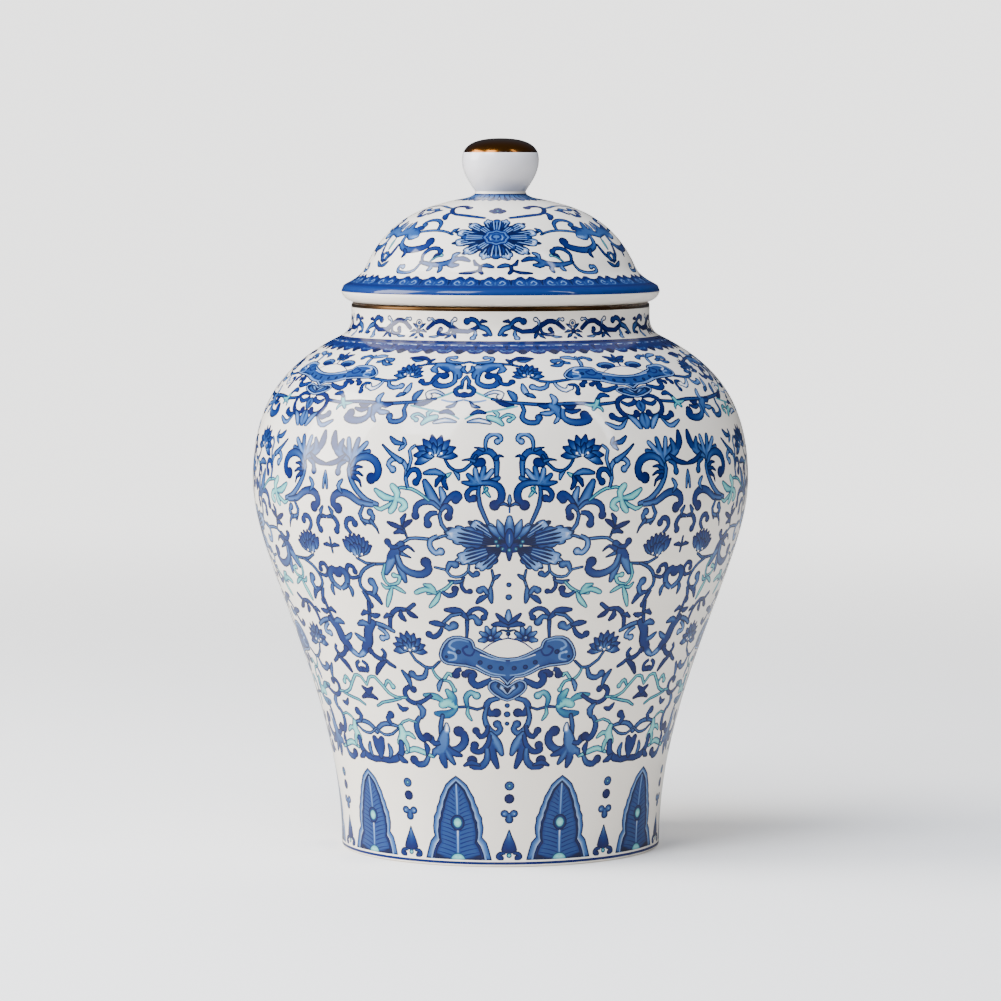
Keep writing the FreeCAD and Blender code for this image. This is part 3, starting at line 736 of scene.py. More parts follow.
    ("leaf", "deep", 0.9, 34.4, 59.8, 33, 57.8, 31.2, 58.4),
    # the pendant's legs
    ("curl", "rise", 1.1, 2.2, 63.4, 5, 62.6, 6.2, 60.2, 5.0, 57.4, 3.2, 57.8),
    ("curl", "mid", 1.0, 6.1, 60, 6.8, 55.6, 5.6, 51.6, 3.4, 49.8, 2.0, 51.6, 3.0, 53.4),
    ("leaf", "mid", 1.4, 5.0, 50.0, 3.2, 46.4, 1.6, 42.0),
    ("+leaf", "deep", 1.3, 5.2, 49.6, 4.8, 43, 3.0, 37.0),
    ("curl", "deep", 0.9, 5.8, 53, 6.4, 50, 8.2, 48.4, 9.6, 50.8),
    ("curl", "deep", 1.0, 5.4, 49.4, 6.0, 45.8, 8.4, 42.8, 10.8, 43.4, 10.2, 45.2),
    ("curl", "rise", 1.2, 6.3, 44.0, 6.4, 39.8, 8.6, 37.0, 11.2, 37.4, 11.2, 39.4),
    ("leaf", "deep", 0.9, 8.8, 37.6, 11.4, 38.6, 13.8, 37.4),
    # the acanthus above the foot band
    ("vine", "mid", 0.75, 19.8, 56.4, 20.8, 52, 21, 48),
    ("curl", "rise", 1.3, 20.4, 46.8, 18.4, 43.4, 15.6, 43.6, 13.4, 46.2, 13.6, 49.4, 15.0, 50.4),
    ("lobe", "mid", 2.0, 19.6, 49.4, 20.4, 46, 21.6, 42.6),
    ("+leaf", "pale", 1.1, 20, 48.6, 18.9, 50.6, 18.8, 53.0),
    ("+leaf", "deep", 1.1, 19.4, 44.4, 17.4, 42.2, 14.8, 41.2),
    ("+leaf", "mid", 1.1, 20.0, 43.8, 18.8, 40.8, 17.2, 38.0),
    ("+leaf", "deep", 1.3, 20.8, 43.0, 21.0, 40.0, 20.2, 36.8),
    ("+leaf", "mid", 1.2, 21.6, 43.6, 23.4, 42.4, 24.2, 40.6),
    ("curl", "deep", 1.0, 21.4, 45.8, 23.4, 45.4, 24.6, 47.2),
    ("leaf", "turq", 1.3, 24.2, 40.2, 28, 42.0, 31, 42.8, 34.2, 41.2),
    ("leaf", "deep", 1.0, 26.4, 41.0, 26.0, 43.0, 26.6, 45.2),
    ("curl", "rise", 1.1, 26, 40.2, 27.2, 37.8, 29.8, 37.0, 31.4, 38.6),
    ("leaf", "mid", 1.2, 27.6, 60.2, 26.0, 58.0, 26.8, 55.2),
    ("curl", "rise", 1.1, 27.2, 55.6, 28.8, 53, 28.8, 49.6, 27.2, 46.8, 25.6, 47.8),
    ("vine", "turq", 0.5, 28.8, 53.2, 31.4, 54, 33.6, 53, 35.4, 51),
    ("lobe", "turq", 1.8, 34.8, 51, 34.4, 48, 36, 44.8),
    ("+leaf", "turq", 1.1, 34.6, 48.2, 32.0, 48.6, 30.2, 47.0),
    ("+leaf", "turq", 1.1, 34.2, 47, 33.4, 44.4, 33.2, 41.8),
    ("curl", "mid", 0.9, 35.6, 51, 39, 51.8, 42.2, 51.2, 45, 48.6),
    ("curl", "deep", 1.0, 38, 51.5, 39.2, 53.8, 37.8, 55.4),
    ("vine", "soft", 0.5, 35.8, 50.2, 38.4, 48, 42, 47.4, 45, 49.6),
    ("vine", "deep", 1.1, 35.6, 45.0, 36, 41, 38.6, 38.4, 42, 37.6, 45, 37.8),
    ("leaf", "deep", 1.1, 37.2, 39.8, 35.8, 38.2, 34.4, 37.6),
    ("leaf", "deep", 1.9, 45, 38.8, 44.8, 42.0, 43.4, 45.4),
    ("leaf", "mid", 1.0, 41.2, 38.6, 40.2, 41.0, 40.8, 43.6),
]


def paintLotus(painter, x, y, turn=0.0, size=1.0, spreadAngle=80.0, petals=7):
    # pointed petals fanned from one base, pale there and dark at their tips, a shorter row in front
    for count, reach, width in ((petals + 2, 8.0, 1.35), (petals - 2, 5.2, 1.1)):
        for i in range(count):
            lean = spreadAngle * (2.0 * i / (count - 1) - 1.0)
            bend = math.radians(lean * (1.0 if count > petals else 0.72) + turn)
            reached = size * reach * (1.0 - 0.10 * abs(lean) / spreadAngle)
            shares = [(along, bend * (0.80 + 0.20 * along)) for along in (0.12, 0.58, 1.0)]
            spots = [(x + along * reached * math.sin(curved) / 1.5, y + along * reached * math.cos(curved))
                     for along, curved in shares]
            painter.stroke("petal", "petal", width * size, spots)
    painter.dots("bare", [(x - 1.3 * size, y + 1.6 * size, 0.42), (x, y + 0.9 * size, 0.42),
                          (x + 1.3 * size, y + 1.6 * size, 0.42)])


def paintPetal(painter, x, y, turn, length, wide, lobes, shade=(0.97, 0.20), across=1.0):
    # one broad petal: a scalloped rim that is pale, and dark streaks running out from its root
    sideways = across / (painter.flat * painter.widening(y))
    ahead = (math.sin(math.radians(turn)), math.cos(math.radians(turn)))

    def spot(out, off):
        return (x + (ahead[0] * out * length + ahead[1] * off * wide) * sideways,
                y + ahead[1] * out * length - ahead[0] * off * wide)

    border = [spot(0.06, 0.0)]
    for i in range(5 * lobes + 1):
        bend = math.radians(-138.0 + 276.0 * i / (5 * lobes))
        rim = 0.86 + 0.16 * abs(math.sin(math.pi * i / 5.0)) ** 0.7
        border.append(spot(0.62 + 0.38 * rim * math.cos(bend), rim * math.sin(bend)))
    painter.field(border, (spot(0.22, 0.0), shade[0], spot(1.0, 0.0), shade[1]), sharp=True, rim=0.3)
    for off in (-0.62, -0.2, 0.2, 0.62):
        painter.stroke("petal", "deep", 0.5, [spot(0.10, off * 0.1), spot(0.42, off * 0.62),
                                              spot(0.80 - 0.1 * abs(off), off)])
    for off in (-0.42, 0.0, 0.42):
        painter.stroke("vine", "pale", 0.2, [spot(0.38, off * 0.6), spot(0.60, off * 0.9),
                                             spot(0.84, off * 1.1)])


def paintMainLotus(painter):
    painter.field(ring(0, 122.8, 3.2, 3.2), 0.97, outlined=0.0)
    petals = ((57, 16.0, 2.8, 5), (128, 14.5, 3.6, 7), (108, 19.5, 3.5, 7), (78, 22.5, 4.1, 9),
              (40, 10.5, 1.9, 4))
    for turn, length, wide, lobes in petals:
        paintPetal(painter, 0.6, 122.8, turn, length, wide, lobes)
    painter.rows([ ("petal", "fall", 1.3, 0.5, 124, 3.0, 127.6, 4.6, 129.8),
                  ("petal", "fall", 1.3, 0.5, 124, 1.8, 128.4, 2.6, 131.8),
                  ("leaf", "fall", 1.6, 0, 123.4, 0, 127.6, 0, 132.6),
                  ("leaf", "deep", 1.0, 0, 121.8, 0, 119.6, 0, 117.4),
                  ("vine", "mid", 0.42, 0, 134.4, 0, 137.0),
                  ("leaf", "soft", 0.8, 0, 137.4, 0, 138.8, 0, 140.6),
                  ("leaf", "mid", 0.6, 0.2, 136.8, 1.2, 137.8, 2.2, 137.2)])
    painter.rows([("leaf", "deep", 1.5, 0, 122.6, 0, 125.2, 0, 128.0),
                  ("vine", "pale", 0.2, 0, 123.6, 0, 126.6)])
    painter.dots("turq", [(0, 120.9, 0.75), (1.5, 121.4, 0.7), (2.6, 122.6, 0.7), (3.0, 124.1, 0.7),
                          (2.2, 125.5, 0.6)])
    painter.dots("mid", [(0, 107.8, 0.8), (0, 103.0, 1.0)])


def paintChime(painter, x=0.0, y=0.0, side=1, up=1.0):
    # a hanging stone chime with cloud-shaped ends, its reserve above and its pendant below
    size = math.sqrt(up)

    def place(spots):
        return [(x + side * a, y + up * b) for a, b in spots]

    plate = [(0, 79.4), (2.5, 79.7), (5, 81), (7.4, 82.8), (8.6, 83.6), (8.9, 85.4), (9.8, 86.9),
             (11.2, 87.4), (12.6, 87.9), (14.6, 87.8), (16.2, 86.8), (17.6, 84.8), (18.6, 82.4),
             (19.1, 80.2), (18.6, 77.6), (17, 76.1), (14.6, 75.7), (11.8, 75.4), (9, 74.4), (6.6, 72.6),
             (4.4, 71.4), (2.4, 71.2), (1.2, 69.8), (0, 68.2)]
    painter.nested(place(plate + mirror(plate[1:-1])), [(0, 0.97, 1.0), (0.5, 0.16, 0.0), (0.95, 0.68, 1.0)])
    painter.rows([("curl", "ink", 0.45, 8.8, 82.6, 9.8, 80.2, 11.4, 80.4, 12.2, 82.6, 11.0, 83.6),
                  ("curl", "pale", 0.45, 16.4, 78.0, 14.4, 78.6, 14.4, 80.6, 16.0, 81.2),
                  ("curl", "pale", 0.45, 10.4, 85.4, 12.6, 86.2, 14.8, 85.6, 15.8, 83.6, 14.6, 82.4),
                  ("vine", "pale", 0.3, 0.6, 78.0, 4.6, 79.0, 7.4, 80.4),
                  ("vine", "pale", 0.3, 0.6, 72.4, 4.6, 73.2, 8.6, 76.2)], size, place)
    for a, b, radius in [(1.8, 75.2, 0.75), (4.9, 75.6, 0.75), (7.6, 77.4, 0.75), (13.4, 81.4, 0.8),
                         (16.9, 79.4, 0.5)]:
        painter.dots("ink", [(*place([(a, b)])[0], radius * size)])
    lens = [(0, 86.8), (2.5, 86.2), (4.5, 84.8), (6.6, 82.4), (5, 81.2), (2.5, 79.9), (0, 79.6)]
    painter.field(place(lens + mirror(lens[1:-1])), 0.03, rim=0.3, outlined=0.0)
    painter.stroke("vine", "ink", 0.3 * size, place([(-6.6, 82.6), (-4.5, 84.9), (0, 87.0), (4.5, 84.9),
                                                     (6.6, 82.6)]))
    painter.rows([("curl", "deep", 1.2, 4.4, 70.8, 6.5, 69.4, 8.6, 68.2, 10.2, 70.0, 10, 72.6),
                  ("curl", "ink", 0.9, 10.0, 73.8, 11.2, 73.8, 12.0, 72.6),
                  ("curl", "ink", 1.0, 12.8, 74.6, 14.0, 74.2, 14.6, 72.4)], size, place)
    cloud = [(0, 62.0), (2.0, 62.8), (4.2, 64.6), (5.8, 67.2), (5.4, 69.8), (3.4, 71), (1.4, 69.8), (0, 68.4)]
    painter.nested(place(cloud + mirror(cloud[1:-1])), [(0, 0.97, 1.0), (0.4, 0.14, 0.0), (0.8, 0.62, 1.0)])
    painter.field(place([(0, 64.4), (1.8, 66.2), (3.2, 68.0), (2.6, 69.4), (1.2, 68.6), (0, 67.2),
                         (-1.2, 68.6), (-2.6, 69.4), (-3.2, 68.0), (-1.8, 66.2)]), 0.22, rim=0.3)
    painter.field(place([(0, 65.2), (0.9, 66.8), (1.6, 67.8), (0, 67.0), (-1.6, 67.8), (-0.9, 66.8)]), 0.97,
                  rim=0.25)


def paintChimeCrown(painter):
    painter.dots("deep", [(0, 88.6, 0.7)])
    painter.rows([("leaf", "soft", 1.2, 0, 91, 0, 94, 0, 97.6),
                  ("leaf", "deep", 1.0, 0, 91.5, 2.2, 92.6, 4.0, 92.2),
                  ("leaf", "deep", 0.9, 0, 92.6, 1.8, 94.6, 3.0, 96.4),
                  ("spike", "mid", 0.5, 0, 89.6, 1.6, 90.2, 2.8, 89.4)])
    # a half-open flower either side, its petals pale at the edge
    for lean in (-100, -62, -22, 20, 60, 100):
        bend = math.radians(lean)
        painter.stroke("leaf", "fall", 1.15, [(4.6 + wide * math.sin(bend), 86.8 + high * math.cos(bend))
                                              for wide, high in ((0.4, 0.8), (1.8, 2.8), (2.9, 4.6))])
    painter.dots("ink", [(4.6, 86.8, 1.15)])
    painter.dots("pale", [(4.6, 87.2, 0.45)])


def paintBelly(painter):
    painter.rows(bellyScrolls)
    paintLotus(painter, 16.6, 153.6, 12, 1.0, 96)
    paintLotus(painter, 37.6, 116.2, -8, 1.15, 44, 6)
    paintLotus(painter, 27.3, 80.6, 0, 1.0, 88)
    paintMainLotus(painter)
    paintChimeCrown(painter)
    paintChime(painter)
    painter.dots("mid", [(0, 60.6, 0.8), (0, 57.2, 1.0), (0, 53.6, 0.7)])


# the shoulder above it, with a second row of chimes on the far axis, half a period of 45 degrees
shoulderBand = {"low": 162.8, "high": 197.2, "half": 45, "axis": -9, "periods": 4}

shoulderScrolls = [
    ("vine", "mid", 0.6, 0, 193.2, 2, 192.4, 5, 192.4, 9, 192, 12, 191.7, 14.5, 190.5),
    ("curl", "soft", 0.8, 1, 192.4, 3.5, 192.8, 6.4, 193.6, 6.6, 195.4, 4.6, 195.6),
    ("lobe", "mid", 1.6, 9, 191.4, 5.4, 190.6, 3.0, 188.4, 2.4, 185.4),
    ("+leaf", "deep", 1.2, 8.4, 190.6, 6.4, 189.6, 5.4, 188),
    ("+leaf", "mid", 1.2, 8.8, 191, 9.8, 189.2, 8.6, 187.6),
    ("+leaf", "soft", 1.1, 4.6, 190.0, 2.6, 190.4, 1.2, 189.4),
    ("curl", "rise", 1.1, 3.2, 186.4, 3.0, 183, 5, 181, 7.4, 181.3, 8.6, 183.6, 7.6, 186, 6.0, 185.8),
    ("curl", "deep", 0.8, 8.6, 184.2, 9.4, 182.2, 11.0, 181.8, 12.0, 183.0),
    ("leaf", "deep", 0.9, 12.2, 191.4, 11.9, 193.4, 10.8, 194.4),
    ("leaf", "ink", 0.9, 11.6, 193.0, 14, 195.2, 18.5, 195),
    ("leaf", "mid", 0.8, 14.0, 193.6, 16, 193.4, 17.6, 194.2),
    ("vine", "mid", 0.55, 17, 185, 19.5, 183.2, 22, 182.8, 25, 183.4, 28, 184),
    ("curl", "soft", 0.9, 21.4, 182.6, 20.8, 180.8, 19, 179.8, 17.2, 180.6),
    ("curl", "pale", 0.9, 23, 182.4, 24, 180.2, 25.6, 179, 27, 180.4),
    ("curl", "deep", 0.7, 26.6, 181.4, 28.4, 181.4, 29, 179.6, 28.6, 177.8),
    ("leaf", "mid", 1.2, 11, 178.8, 12.2, 176.8, 12.6, 174.6),
    ("leaf", "soft", 1.1, 14.6, 181.8, 15, 179.2, 15.8, 177.0),
    ("leaf", "mid", 0.9, 15.4, 177.6, 16.6, 177.0, 17.4, 176.2),
    ("vine", "turq", 0.45, 1, 180, 4, 177.5, 7, 175.6),
    ("vine", "mid", 0.62, 7, 175.5, 10, 174.4, 14, 173.8, 20, 173.2, 28, 173.6, 34, 173, 39, 173.8),
    ("leaf", "ink", 0.9, 8, 174.6, 10, 173.4, 12, 172.8),
    ("curl", "pale", 0.8, 5, 177, 7.4, 178.6, 9.4, 177.6, 8.8, 176.4),
    ("lobe", "mid", 1.6, 21, 172.8, 22.6, 171.2, 23.2, 169),
    ("+leaf", "soft", 1.1, 21.6, 173, 22.4, 175, 21.6, 177),
    ("+leaf", "deep", 1.0, 21.2, 173, 19.6, 172.4, 18.2, 173),
    ("+leaf", "soft", 1.0, 22, 170.8, 20.6, 169.8, 18.6, 169.8),
    ("+leaf", "turq", 1.0, 22.6, 170, 22.6, 168, 21.6, 166.2),
    ("leaf", "ink", 0.8, 24.2, 172.8, 25.8, 171.8, 27.2, 172.6),
    ("leaf", "deep", 0.8, 24.2, 171.2, 26, 170.2, 28.2, 171),
    ("curl", "rise", 1.2, 24, 171.6, 23.8, 168.4, 25.4, 166.6, 28, 166.3, 30.2, 167.6, 29.2, 168.8),
    ("curl", "mid", 0.9, 14, 173.4, 14.6, 171, 14, 168.4, 15.2, 166.6, 17.6, 166.6, 18, 168.2),
    ("lobe", "turq", 1.1, 31.6, 171, 32.8, 173.2, 33.6, 175.4),
    ("+leaf", "turq", 0.9, 32.6, 173.2, 31.2, 172.6, 29.8, 173),
    ("+leaf", "turq", 0.8, 32.4, 172.4, 33.8, 171.4, 34.0, 170.2),
    ("leaf", "deep", 0.9, 33.4, 175.2, 34.8, 176.8, 36.6, 176.2),
    ("lobe", "turq", 1.3, 9.4, 165.8, 8.2, 167.4, 6.2, 168.4),
    ("+leaf", "turq", 0.9, 8, 168, 8.4, 169.6, 7.2, 170.8),
    ("+curl", "turq", 0.8, 8.8, 167.8, 10.6, 169.4, 12.2, 168.4, 11, 167.2),
    ("vine", "turq", 0.42, 0.6, 167.6, 3, 169.6, 6, 170.4, 10, 171.6, 13, 172.6),
    ("leaf", "deep", 0.8, 2, 169.4, 3.6, 170.6, 5.4, 170.0),
    ("leaf", "pale", 0.9, 1.4, 166.6, 4.0, 167.2, 6.6, 166.2),
    ("vine", "mid", 0.6, 0, 185.6, 0.9, 183.2, 0.8, 180),
    ("curl", "deep", 0.8, 0.8, 181.4, 2.4, 179.4, 1.6, 177.2, 0.2, 177.2),
    ("leaf", "mid", 0.8, 0, 187, 1.4, 188.8, 1.0, 190.8),
    ("vine", "pale", 0.42, 0, 175.2, 2.4, 174.2, 5.4, 175.0),
    ("leaf", "mid", 0.7, 1.6, 174.4, 2.4, 172.8, 4.0, 172.2),
    # over and beside the chime's end
    ("vine", "soft", 0.7, 32.4, 189.8, 32.6, 192.4, 32.0, 195.6),
    ("curl", "mid", 0.8, 32.4, 194.6, 34.2, 195.4, 36, 194.2),
    ("leaf", "soft", 1.0, 32, 194.2, 30, 195.4, 27.4, 195.6),
    ("curl", "mid", 0.9, 29.6, 192.2, 27.8, 192.6, 26.6, 194.0, 24.6, 193.4),
    ("leaf", "mid", 0.9, 27.4, 193.0, 26, 191.2, 23.6, 191.0),
    # its crown and legs
    ("vine", "ink", 0.45, 45, 189.4, 45, 192.6), ("leaf", "deep", 0.9, 45, 192.0, 45, 194.4, 45, 196.6),
    ("leaf", "ink", 0.9, 45, 193.6, 43.4, 194.4, 41.4, 195.4),
    ("leaf", "mid", 0.7, 45, 192.4, 43.6, 192.4, 42.4, 193.4),
    ("curl", "ink", 0.9, 44, 175.4, 41, 175.8, 38.8, 174.2, 38.4, 171.2, 39.6, 168.6, 42, 167.6, 43.2,
     169.0),
    ("curl", "deep", 0.8, 39.6, 173.8, 41.4, 172.4, 43.6, 173.4),
    ("curl", "deep", 0.9, 40, 167.6, 38, 166.8, 36.2, 168.2),
    ("leaf", "soft", 0.9, 40, 167, 37.6, 163.8, 34.2, 165.8),
    ("leaf", "soft", 1.2, 40.6, 168.2, 42.2, 166.2, 43.4, 163.4),
    ("leaf", "mid", 1.3, 44.6, 168.6, 44.2, 166.2, 45, 163.4),
    ("leaf", "mid", 1.0, 45, 173.8, 44.2, 172.0, 45, 169.8),
]


def paintShoulder(painter):
    painter.rows(shoulderScrolls)
    paintLotus(painter, 16.4, 184.8, 0, 0.85, 84)
    painter.field(ring(40.2, 190.6, 3.2, 2.0), ((40.2, 193), 0.2, (40.2, 189.5), 0.85))
    painter.field(ring(40.2, 190.2, 1.8, 1.0, 10), 0.95)
    paintChime(painter, 45.0, 137.8, -1, 0.6)


# the scalloped ring under the neck, half a period of 5 degrees
scallopBand = {"low": 197.2, "high": 207.2, "half": 5, "axis": 7, "periods": 36}


def paintScallops(painter):
    edge = [(-8, 197.9), (-5, 197.9), (-3.4, 198.2), (-2.2, 199.5), (-1.5, 198.7), (-0.7, 197.7), (0, 197.5),
            (0.7, 197.7), (1.5, 198.7), (2.2, 199.5), (3.4, 198.0), (5, 197.6), (8, 197.6), (8, 206.2),
            (-8, 206.2)]
    painter.field(edge, ((0, 197.6), 0.97, (0, 204), 0.90), sharp=True, rim=0.4)
    painter.field([(-9, 205.0), (9, 205.0), (9, 206.8), (-9, 206.8)], 0.97, sharp=True, rim=0.3)
    painter.field([(0, 197.6), (1.3, 198.8), (1.1, 200.2), (0, 200.9), (-1.1, 200.2), (-1.3, 198.8)], 0.97,
                  rim=0.3)
    painter.rows([("curl", "ink", 0.45, 0.3, 201.4, 1.6, 202.6, 3.0, 202.0, 2.6, 200.7),
                  ("vine", "pale", 0.28, 1.4, 203.7, 3.6, 203.6),
                  ("curl", "soft", 0.36, 5, 200.2, 3.9, 199.5, 3.2, 200.2),
                  ("spike", "ink", 0.5, 5, 202.9, 5, 201.6, 5, 200.8),
                  ("vine", "ink", 0.3, 2.2, 199.8, 3.2, 198.9, 5, 198.5),
                  ("vine", "soft", 0.25, 0.4, 203.5, 0.9, 202.9)])


# the scrolls round the neck, half a period of 30 degrees
neckBand = {"low": 207.2, "high": 217.3, "half": 30, "axis": -2, "periods": 6}

neckScrolls = [
    ("lobe", "mid", 1.25, 1.6, 210.0, 3.2, 212.2, 6.4, 213.2),
    ("+curl", "deep", 1.1, 5.6, 213.2, 7, 215.0, 9, 215.7, 10.6, 214.9),
    ("+leaf", "ink", 0.9, 6, 214.2, 4.8, 215.1, 3.2, 214.9),
    ("+leaf", "deep", 0.9, 2.4, 211.0, 3.0, 209.8, 4.4, 210.0),
    ("vine", "ink", 1.0, 6.6, 212.8, 10, 211.2, 14, 211.4, 17.2, 213.4, 20, 214.9, 23.5, 214.4, 26.2,
     212.2),
    ("curl", "soft", 1.0, 7.4, 211.6, 7.2, 210.0, 8, 208.4),
    ("curl", "ink", 0.85, 17.0, 213, 17.4, 210.9, 19.4, 209.9, 21.6, 210.5, 20.8, 211.9),
    ("leaf", "pale", 0.8, 20.4, 209.6, 22.4, 208.9, 24.6, 208.9),
    ("leaf", "deep", 0.9, 16.2, 211.6, 15, 209.8, 14.4, 208.4),
    ("leaf", "mid", 0.8, 15.6, 211, 17.0, 209.4, 18.2, 208.4),
    ("curl", "pale", 0.8, 16.4, 213.4, 16.4, 214.8, 15.2, 215.6),
    ("curl", "pale", 0.7, 23.0, 214.6, 24.4, 215.7, 25.8, 215.5),
    ("petal", "petal", 0.9, 30, 211.4, 28.8, 213.2, 27.4, 213.8),
    ("petal", "petal", 0.9, 30, 210.8, 28.2, 209.6, 27.0, 208.6),
    ("petal", "petal", 0.8, 30, 211.2, 28, 211.4, 26.4, 210.8),
]


def paintNeck(painter):
    painter.rows(neckScrolls, 0.74)
    painter.dots("petal", [(30, 214.2, 1.1)])
    painter.dots("pale", [(30, 214.2, 0.55)])
    painter.dots("ink", [(30, 211.2, 0.8)])
    painter.dots("mid", [(30, 208.4, 0.6)])


# the lid's dome, three lotuses round it, half a period of 60 degrees; mm are counted from its seam
domeBand = {"low": 16.4, "high": 59.4, "half": 60, "axis": -2, "periods": 3}

domeScrolls = [
    # the dark floret and the long stem over the lotus
    ("vine", "deep", 0.8, 8, 43.2, 14, 44, 22, 45, 28, 45.6, 32.6, 46.8),
    ("+curl", "ink", 1.05, 31, 46.2, 35.8, 49.2, 36.6, 51.6, 32, 53, 26.4, 52.6, 23.0, 51.4),
    ("+leaf", "deep", 1.3, 33.4, 47.4, 35.6, 45, 33.0, 42.2),
    ("vine", "soft", 0.6, 36, 50.6, 43, 51.4, 52, 53.0, 60, 53.4),
    ("leaf", "deep", 1.2, 45.6, 48.8, 49.6, 48.4, 53, 45.6),
    ("leaf", "mid", 1.2, 49.0, 48.6, 54, 49.8, 59, 48.4),
    ("leaf", "deep", 1.2, 55.8, 46.6, 57.6, 44.4, 60, 43.6),
    # stem, curls and acanthus to the side
    ("vine", "soft", 0.6, 22.6, 33.6, 26, 34.8, 32, 35.6, 38, 35.4, 44, 34.6, 50, 33.6),
    ("leaf", "mid", 0.9, 24, 34.2, 22.4, 35.8, 20.6, 36.6),
    ("curl", "mid", 1.0, 32.6, 35.8, 33.0, 39.2, 37, 41.4, 43, 41.2, 45.8, 39.4, 44.0, 38.2),
    ("lobe", "mid", 2.0, 60, 33, 55, 34.6, 50, 34.8, 45, 33.6),
    ("+leaf", "turqFall", 1.5, 52, 34.4, 48, 32.2, 43.6, 32.6),
    ("+leaf", "mid", 1.6, 55, 34.4, 53.4, 37, 54.6, 39.6),
    ("+leaf", "deep", 1.4, 50, 34.8, 46.6, 36.6, 43.4, 36.4),
    ("+leaf", "soft", 1.1, 57.4, 34.4, 58.0, 36.6, 57.6, 39.0),
    ("leaf", "turq", 1.0, 60, 31.6, 60, 29.0, 60, 26.6),
    ("curl", "rise", 1.4, 52.4, 33, 51.6, 28.8, 46, 26.6, 39, 26.9, 33.8, 28.6, 33.4, 30.2),
    ("leaf", "deep", 1.0, 47.6, 26.8, 45.6, 25.2, 46.6, 23.6),
    ("vine", "deep", 0.8, 53.6, 28.4, 55.4, 24.6, 60, 21.4),
    ("curl", "mid", 0.9, 60, 25.2, 58.2, 24.4, 58.2, 22.6),
    ("leaf", "mid", 0.9, 55.2, 21.4, 57.4, 20.2, 60, 19.6),
    # the lower acanthus and small scrolls over the rim
    ("lobe", "mid", 1.1, 34.4, 21.6, 28, 20.6, 22, 21.2, 17, 23.2),
    ("+leaf", "deep", 1.0, 18, 22.8, 14.6, 23.2, 11.4, 22.2),
    ("+leaf", "mid", 1.1, 22, 21.2, 18.6, 20.4, 16.2, 20.6),
    ("+leaf", "mid", 1.0, 25, 20.8, 23.8, 19.2, 24.6, 17.8),
    ("+leaf", "soft", 0.9, 29, 20.8, 28.6, 19.4, 30, 18.4),
    ("+leaf", "soft", 0.9, 19, 22.4, 18.8, 24.4, 16.4, 25.4),
    ("curl", "deep", 0.9, 33.6, 21.4, 34.4, 24.4, 31.4, 27, 27.4, 27.2, 25.8, 26),
    ("curl", "turq", 0.7, 30, 21.6, 27.2, 23.8, 24.6, 24.4),
    ("leaf", "ink", 0.7, 28.6, 23.4, 27.4, 24.6, 25.8, 24.6),
    ("curl", "soft", 0.8, 34.4, 21.2, 36.6, 18.4, 41, 17.2, 46.0, 18.0, 45.4, 19.8, 43.4, 19.6),
    ("leaf", "ink", 0.8, 6.4, 20.2, 8.6, 20.9, 9.4, 22.4),
    ("leaf", "mid", 0.9, 6.6, 20.2, 4, 20.5, 1, 19.8), ("vine", "ink", 0.8, 6.4, 20, 6.7, 18.4, 5.6, 17.3),
    ("leaf", "ink", 0.7, 6.8, 18.6, 10, 17.6, 15, 17.3),
]


def paintDome(painter):
    painter.rows(domeScrolls, 0.86)
    for turn, length, wide in ((18, 10.6, 2.0), (50, 11.6, 2.1), (78, 12.6, 2.2), (104, 12.4, 2.2),
                               (132, 11.4, 2.1), (162, 10.4, 2.0)):
        paintPetal(painter, 0.0, 32.4, turn, length, wide, 5, (0.98, 0.10), 1.32)
    for turn, length, wide in ((0, 10.0, 2.5), (90, 10.4, 2.2), (180, 9.6, 2.6), (44, 7.4, 1.8),
                               (136, 7.4, 1.8)):
        paintPetal(painter, 0.0, 32.4, turn, length, wide, 3, (1.0, 0.66), 1.25)
    for wide, high, density in ((6.6, 3.7, 0.97), (5.9, 3.2, 0.30), (5.0, 2.7, 0.95), (4.2, 2.2, 0.55)):
        lobed = [(a, 1 + 0.07 * math.cos(8 * a)) for a in np.arange(32) * math.tau / 32]
        lobed = [(wide * math.sin(a) * out, 32.4 + high * math.cos(a) * out) for a, out in lobed]
        painter.field(lobed, density, rim=0.25, outlined=0.0)
    painter.rows([("curl", "ink", 0.36, 0.0, 33.6, 1.6, 33.4, 2.0, 32.2, 0.8, 31.6),
                  ("vine", "pale", 0.2, 2.6, 33.4, 3.2, 32.2, 2.6, 31.2)])
    painter.dots("ink", [(3.2, 48.5, 1.3), (0, 50.1, 1.3), (1.8, 47.4, 1.0)])
    painter.dots("turq", [(0, 48.6, 0.7)])


# the rim: a solid line and a wave border, half a period of 6 degrees
rimBand = {"low": 5.0, "high": 16.4, "half": 6, "axis": -2, "periods": 30}


def paintRim(painter):
    wave = [(-9, 9.0), (-9, 14.4), (-6, 14.2), (-4.2, 14.7), (-3, 15.7), (-1.5, 15.9), (0, 14.6),
            (1.5, 15.9), (3, 15.7), (4.2, 14.7), (6, 14.2), (9, 14.4), (9, 9.0)]
    painter.field(wave, 0.80, sharp=True, rim=0.4)
    painter.field([(-9, 5.5), (15, 5.5), (15, 9.5), (-9, 9.5)], ((0, 5.5), 0.66, (0, 9.5), 0.92), sharp=True,
                  rim=0.4, outlined=0.0)
    painter.rows([("vine", "ink", 0.3, -3, 9.9, 9, 9.9),
                  ("curl", "pale", 0.24, 1.0, 11.2, 2.6, 10.9, 3.8, 12.2, 2.6, 13.4, 1.8, 12.4),
                  ("curl", "ink", 0.45, 0.2, 13.2, 1.2, 14.5, 2.8, 14.8),
                  ("vine", "ink", 0.4, 4.6, 10.6, 5.0, 12.4, 4.2, 13.9),
                  ("spike", "ink", 0.5, 6, 13.6, 6, 12.0, 6, 11.0),
                  ("vine", "soft", 0.26, 0, 10.8, 0, 12.6)])


